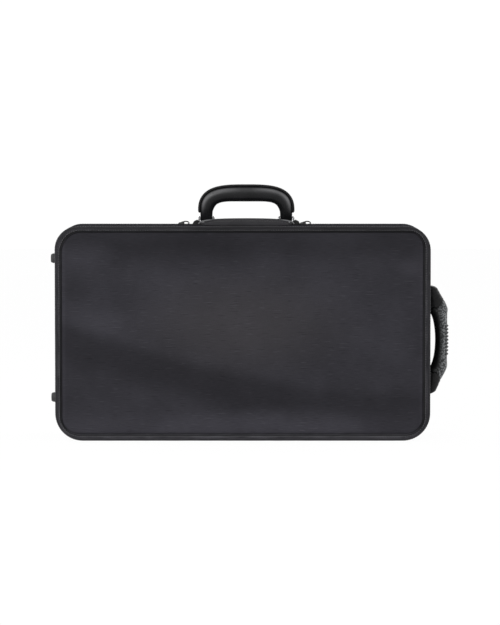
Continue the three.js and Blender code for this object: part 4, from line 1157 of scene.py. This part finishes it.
# Ridges across the outer face of the grip
def sideRidges(look):
    bars, fill = [], look["gripFill"]
    for i in range(look["ridges"]):
        height = (i - (look["ridges"] - 1) / 2) * look["pitch"]
        outer, inner = sideOuter(height), sideInner(height, look)
        rings = []
        for j in range(-12, 13):
            angle = j / 12 * look["ridgeReach"]
            x = case["width"] / 2 + (inner + outer) / 2 + (outer - inner) / 2 * filled(math.cos(angle), fill)
            y = look["y"] + look["gripDepth"] * filled(math.sin(angle), fill)
            tall = look["ridge"] * math.cos(j / 12 * math.pi / 2) ** 0.5
            lifts = [(tall * max(math.cos(a), -0.3), look["ridgeHalf"] * math.sin(a)) for a in turns(12)]
            rings.append([(x + math.cos(angle) * lift, y + math.sin(angle) * lift, look["centre"] + height + along)
                          for lift, along in lifts])
        bars.append(gridPiece(f"ridge{i}", rings, sharpAngle=60))
    ridges = joinPieces("sideGripRidges", bars)
    # The ridges get a share of the same painted highlight
    paintedHighlightValues(ridges, [look["ridgePaintedHighlight"]] * len(ridges.data.vertices))
    settle(ridges, "base", sideRubber, "grip_rubber")


sideGrip(sideLook)
sideEnds(sideLook)
sideRidges(sideLook)
print("side handle ready")


# Feet
footLook = dict(radius=8.4, height=7.3, dish=4.6, dishDepth=3.8, sides=40, heights=(311, 73), inset=30, screw=2.9)


# Turned shape from (radius, distance from the wall) pairs
def lathe(name, profile, centre, sides):
    rings = []
    for radius, out in profile:
        rings.append([(centre[0] - out, centre[1] + radius * math.cos(a), centre[2] + radius * math.sin(a))
                      for a in turns(sides)])
    return gridPiece(name, rings)


# Two dished feet on the left end, each with its screw
def feet(look, body, y, nodes):
    rubberParts, screws = [], []
    for z in look["heights"]:
        centre = (-case["width"] / 2 - 0.3, y, z)
        r, h = look["radius"], look["height"]
        dish, floor = look["dish"], h - look["dishDepth"]
        profile = [(r - 0.5, 0), (r, 0.4), (r, h * 0.36), (r * 0.965, h * 0.55), (r * 0.9, h * 0.78),
                   (r * 0.8, h * 0.94), (r * 0.72, h), (dish + 0.4, h), (dish, h - 0.3), (dish - 0.5, floor),
                   (0.4, floor)]
        rubberParts.append(lathe("foot", profile, centre, look["sides"]))
        head = [(look["screw"], floor - 0.2), (look["screw"], floor + 0.5), (look["screw"] * 0.75, floor + 1.1),
                (0.3, floor + 1.35)]
        screws.append(lathe("screw", head, centre, 20))
    settle(joinPieces(body + "Feet", rubberParts), body, footRubber, "dark_rubber", *nodes)
    settle(joinPieces(body + "FootScrews", screws), body, steel, "steel")


feet(footLook, "base", backY - footLook["inset"], ["foot_base_upper", "foot_base_lower"])
feet(footLook, "lid", frontY + footLook["inset"], ["foot_lid_upper", "foot_lid_lower"])
print("feet ready")


# Sliders and pull rings
ringLook = dict(radius=5.7, wire=1.023, lean=0.46, z=370.0, steps=48, sides=12)
sliderFill = 0.6
# The slider's plate and its crown, which holds the ring, as (offset along the zip, half width, bottom, top)
sliderSteps = dict(
    plate=[(-6, 2.6, 0.2, 1.5), (-5.2, 3.4, 0, 2.2), (0, 4.5, 0, 2.4), (5.2, 3.4, 0, 2.2), (6, 2.6, 0.2, 1.5)],
    crown=[(-4.8, 0.9, 1.6, 2.5), (-3.6, 1.2, 1.6, 3.8), (-1, 1.3, 1.6, 4.2), (2, 1.3, 1.6, 5.4),
           (4, 1.3, 1.6, 5.7), (5, 1.2, 1.6, 5.0), (5.6, 0.9, 1.6, 3.0)])


# Slider with a low plate and a rounded crown
def sliderOf(hand):
    low, high = boxOf(f"zip_slider_{hand}")
    parts = []
    for name, steps in sliderSteps.items():
        rings = [[((low.x + high.x) / 2 + offset, case["parting"] + half * filled(math.cos(a), sliderFill),
                   low.z + (bottom + top) / 2 + (top - bottom) / 2 * filled(math.sin(a), sliderFill))
                  for a in turns(24)] for offset, half, bottom, top in steps]
        parts.append(gridPiece(name, rings, sharpAngle=40))
    slider = joinPieces(f"zipSlider{hand.capitalize()}", parts)
    settle(slider, f"slider_{hand}", darkSteel, "steel", f"zip_slider_{hand}")


# Pull ring, leaning to the back
def pullOf(hand, look):
    low, high = boxOf(f"zip_pull_{hand}")
    wire, leanCos, leanSin = look["wire"], math.cos(look["lean"]), math.sin(look["lean"])
    rings = []
    for a in turns(look["steps"]):
        ring = []
        for b in turns(look["sides"]):
            reach, lift = look["radius"] + wire * math.cos(b), wire * math.sin(b)
            out = reach * math.sin(a)
            ring.append(((low.x + high.x) / 2 + reach * math.cos(a), case["parting"] + out * leanCos - lift * leanSin,
                         look["z"] + out * leanSin + lift * leanCos))
        rings.append(ring)
    pull = gridPiece(f"pullRing{hand.capitalize()}", rings, closedRows=True)
    settle(pull, f"pull_{hand}", darkSteel, "steel", f"zip_pull_{hand}")


for hand in ("left", "right"):
    sliderOf(hand)
    pullOf(hand, ringLook)
print("sliders ready")


# Plush inside
insertLook = dict(voxel=4.0, smooth=5, wave=30, rise=0.35, sunk=0.25)


# Fitted blocks, softened and a little uneven
for node in ("insert_lower_joint", "insert_upper_joint", "insert_bell", "insert_compartment"):
    piece = copyOfNode(node, styled(node) + "Plush")
    remesh(piece, insertLook["voxel"])
    relax(piece, insertLook["smooth"])
    bake(piece)
    for vertex in piece.data.vertices:
        push = ripple(vertex.co / toMetres, insertLook["wave"], insertLook["rise"]) - insertLook["sunk"]
        vertex.co += vertex.normal * push * toMetres
    finishMesh(piece.data, 180)
    settle(piece, "base", plush, "plush", node, fill=1.0)


coverLook = dict(inner=1.2, voxel=5.0, cap=2.0)
ribbonLook = dict(rise=2.2, top=0.9, under=-0.2)


# Lift-out pad over the compartment
def coverPad():
    low, high = boxOf("compartment_cover")
    inner = coverLook["inner"]
    left, right, bottom, top = low.x + inner, high.x - inner, low.z + inner, high.z - inner
    corners = [(left, bottom), (right, bottom), (right, top), (left, top), (left, bottom)]
    rows = [[(mixed(x0, x1, i / 12), y, mixed(z0, z1, i / 12))
             for (x0, z0), (x1, z1) in zip(corners, corners[1:]) for i in range(12)]
            for y in np.linspace(low.y + inner, high.y - inner, 4)]
    pad = gridPiece("compartmentCoverPad", rows)
    swell(pad, coverLook["voxel"], coverLook["cap"])
    settle(pad, "cover", plush, "plush", "compartment_cover", fill=0.6)


# Ribbon tab on the pad, arched between its sewn ends
def ribbonTab():
    low, high = boxOf("cover_tab")
    rows = []
    for share in np.linspace(0, 1, 16):
        z = mixed(high.z, low.z, share)
        lift = math.sin(share * math.pi) * ribbonLook["rise"]
        near, far = low.y - lift + ribbonLook["top"], high.y - lift + ribbonLook["under"]
        rows.append([(low.x, near, z), (high.x, near, z), (high.x, far, z), (low.x, far, z)])
    piece = gridPiece("coverRibbonTab", rows)
    settle(piece, "cover", ribbon, "ribbon", "cover_tab")


liningLook = dict(shell=6, gap=0.3, roll=7.6, wall=5, pad=12, lip=2.0, lipTop=0.6, pillow=1.4, reach=60, wave=40,
                  rise=0.3, seed=20.0, floorShares=(0.06, 0.16, 0.3, 0.46, 0.62, 0.78, 0.92))


# Lining of the lid: a wall with a round lip all round and a padded floor, drawn as one section
def lidLining(look):
    depth = case["cover"] + look["shell"] + 2 * look["gap"]
    wall, roll, lip = look["wall"], look["roll"], look["lip"]
    face, rim = frontY + depth, case["parting"] - look["gap"]
    middle, low, bent = (face + rim) / 2, face + look["pad"], look["lipTop"]
    section = [(depth + roll + look["reach"], face), *rollSection(depth, face, -1, roll, 5)[::-1], (depth, middle),
               (depth, rim - lip), (depth + 0.7, rim - bent), (depth + wall / 2, rim),
               (depth + wall - 0.7, rim - bent), (depth + wall, rim - lip), (depth + wall, middle),
               *rollSection(depth + wall, low, -1, roll, 5)]
    for share in look["floorShares"]:
        drawn = depth + wall + roll + share * (case["height"] / 2 - depth - wall - roll)
        section.append((drawn, low + look["pillow"] * math.sin(min(share * 3, 1) * math.pi / 2)))
    piece = gridPiece("lidLiningPlush", outlineRows(section, look["wave"], look["rise"], look["seed"], 0.0))
    settle(piece, "lid", plush, "plush", "lid_lining", fill=0.8)


coverPad()
ribbonTab()
lidLining(liningLook)
print("plush ready")

# CAD nodes that stay, with their finish
metalNodes = [f"side_handle_{kind}_{level}" for kind in ("plate", "rivet") for level in ("upper", "lower")]
metalNodes += [f"handle_screw_{hand}_{place}" for hand in ("left", "right") for place in ("front", "rear")]
finishes = {"base_shell": shell, "lid_shell": shell, **dict.fromkeys(["handle_plate", *metalNodes], steel)}
for node, finish in finishes.items():
    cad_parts[node].data.materials.clear()
    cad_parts[node].data.materials.append(finish)


# Stage
stageLook = dict(ambient=0.5, white=1.02, shadow=0.05, floorReach=8, middle=(0, 0, 0.2), lamps={
    "key": dict(power=38, place=(-0.9, -3.0, 1.3), size=1.2),
    "side": dict(power=3, place=(2.4, -1.2, 1.2), size=1.0),
    "leftRim": dict(power=11, place=(-2.0, 0.5, 1.9), size=0.9),
    "rightRim": dict(power=11, place=(2.0, 0.5, 1.9), size=0.9)})
cameraLook = dict(place=(0.0124, -5.08, 0.5307), target=(0.0124, -0.08, 0.2199), lens=169.7)


def aim(holder, place, target):
    holder.location = place
    holder.rotation_euler = (Vector(target) - Vector(place)).to_track_quat("-Z", "Y").to_euler()


def areaLight(name, place, target, size, power):
    lamp = bpy.data.lights.new(name, "AREA")
    lamp.shape, lamp.size, lamp.energy = "SQUARE", size, power
    aim(placedObject(name, lamp), place, target)


# 1 for the rays that see the white studio: the camera's, glossy ones and those through glass
def seenRays(tree, rays):
    seen = [Wire(tree, rays.outputs[f"Is {kind} Ray"]) for kind in ("Camera", "Glossy", "Transmission")]
    return seen[0].largest(seen[1]).largest(seen[2])


# White studio for the rays that see it, with a softer light for the others
def makeStudio(look):
    world = bpy.data.worlds.new("studio")
    bpy.context.scene.world = world
    world.use_nodes = True
    studio = Tree(world.node_tree)
    back = studio.nodes["Background"]
    studio.feed(back.inputs["Color"], (1, 1, 1, 1))
    studio.feed(back.inputs["Strength"], look["ambient"])
    white = studio.node("ShaderNodeBackground", values={"Color": (1, 1, 1, 1), "Strength": look["white"]})
    seen = seenRays(studio, studio.nodes.new("ShaderNodeLightPath"))
    sky = studio.node("ShaderNodeMixShader", values={0: seen, 1: Wire(studio, back.outputs[0]), 2: white})
    studio.feed(studio.nodes["World Output"].inputs["Surface"], sky)


# The floor lets the studio through but for a share of its paint, which keeps the object's shadow
def makeFloor(look):
    reach = look["floorReach"]
    floorMesh = bpy.data.meshes.new("floor")
    square = [(-reach, -reach, 0), (reach, -reach, 0), (reach, reach, 0), (-reach, reach, 0)]
    floorMesh.from_pydata(square, [], [(0, 1, 2, 3)])
    paint = Finish("floorPaint", Roughness=0.9, Specular_IOR_Level=0.0)
    soft = paint.grain(paint.place()[0], 3.0, 2.0)
    floorMesh.materials.append(paint.dress(paint.blended(soft, (0.9, 0.9, 0.9), (0.92, 0.92, 0.92))))
    rays = paint.nodes.new("ShaderNodeLightPath")
    through = (seenRays(paint, rays) * (1 - look["shadow"])).largest(Wire(paint, rays.outputs["Is Shadow Ray"]))
    clear = paint.node("ShaderNodeBsdfTransparent")
    skin = paint.node("ShaderNodeMixShader", values={0: through, 1: Wire(paint, paint.shader.outputs[0]), 2: clear})
    paint.feed(paint.nodes["Material Output"].inputs["Surface"], skin)
    placedObject("floor", floorMesh)


def makeCamera(look):
    lens = bpy.data.cameras.new("camera")
    lens.lens = look["lens"]
    lens.clip_start, lens.clip_end = 0.1, 60
    holder = placedObject("camera", lens)
    aim(holder, look["place"], look["target"])
    bpy.context.scene.camera = holder


makeStudio(stageLook)
makeFloor(stageLook)
for name, lamp in stageLook["lamps"].items():
    areaLight(name, lamp["place"], stageLook["middle"], lamp["size"], lamp["power"])
makeCamera(cameraLook)
bpy.context.scene.view_settings.view_transform = "Standard"
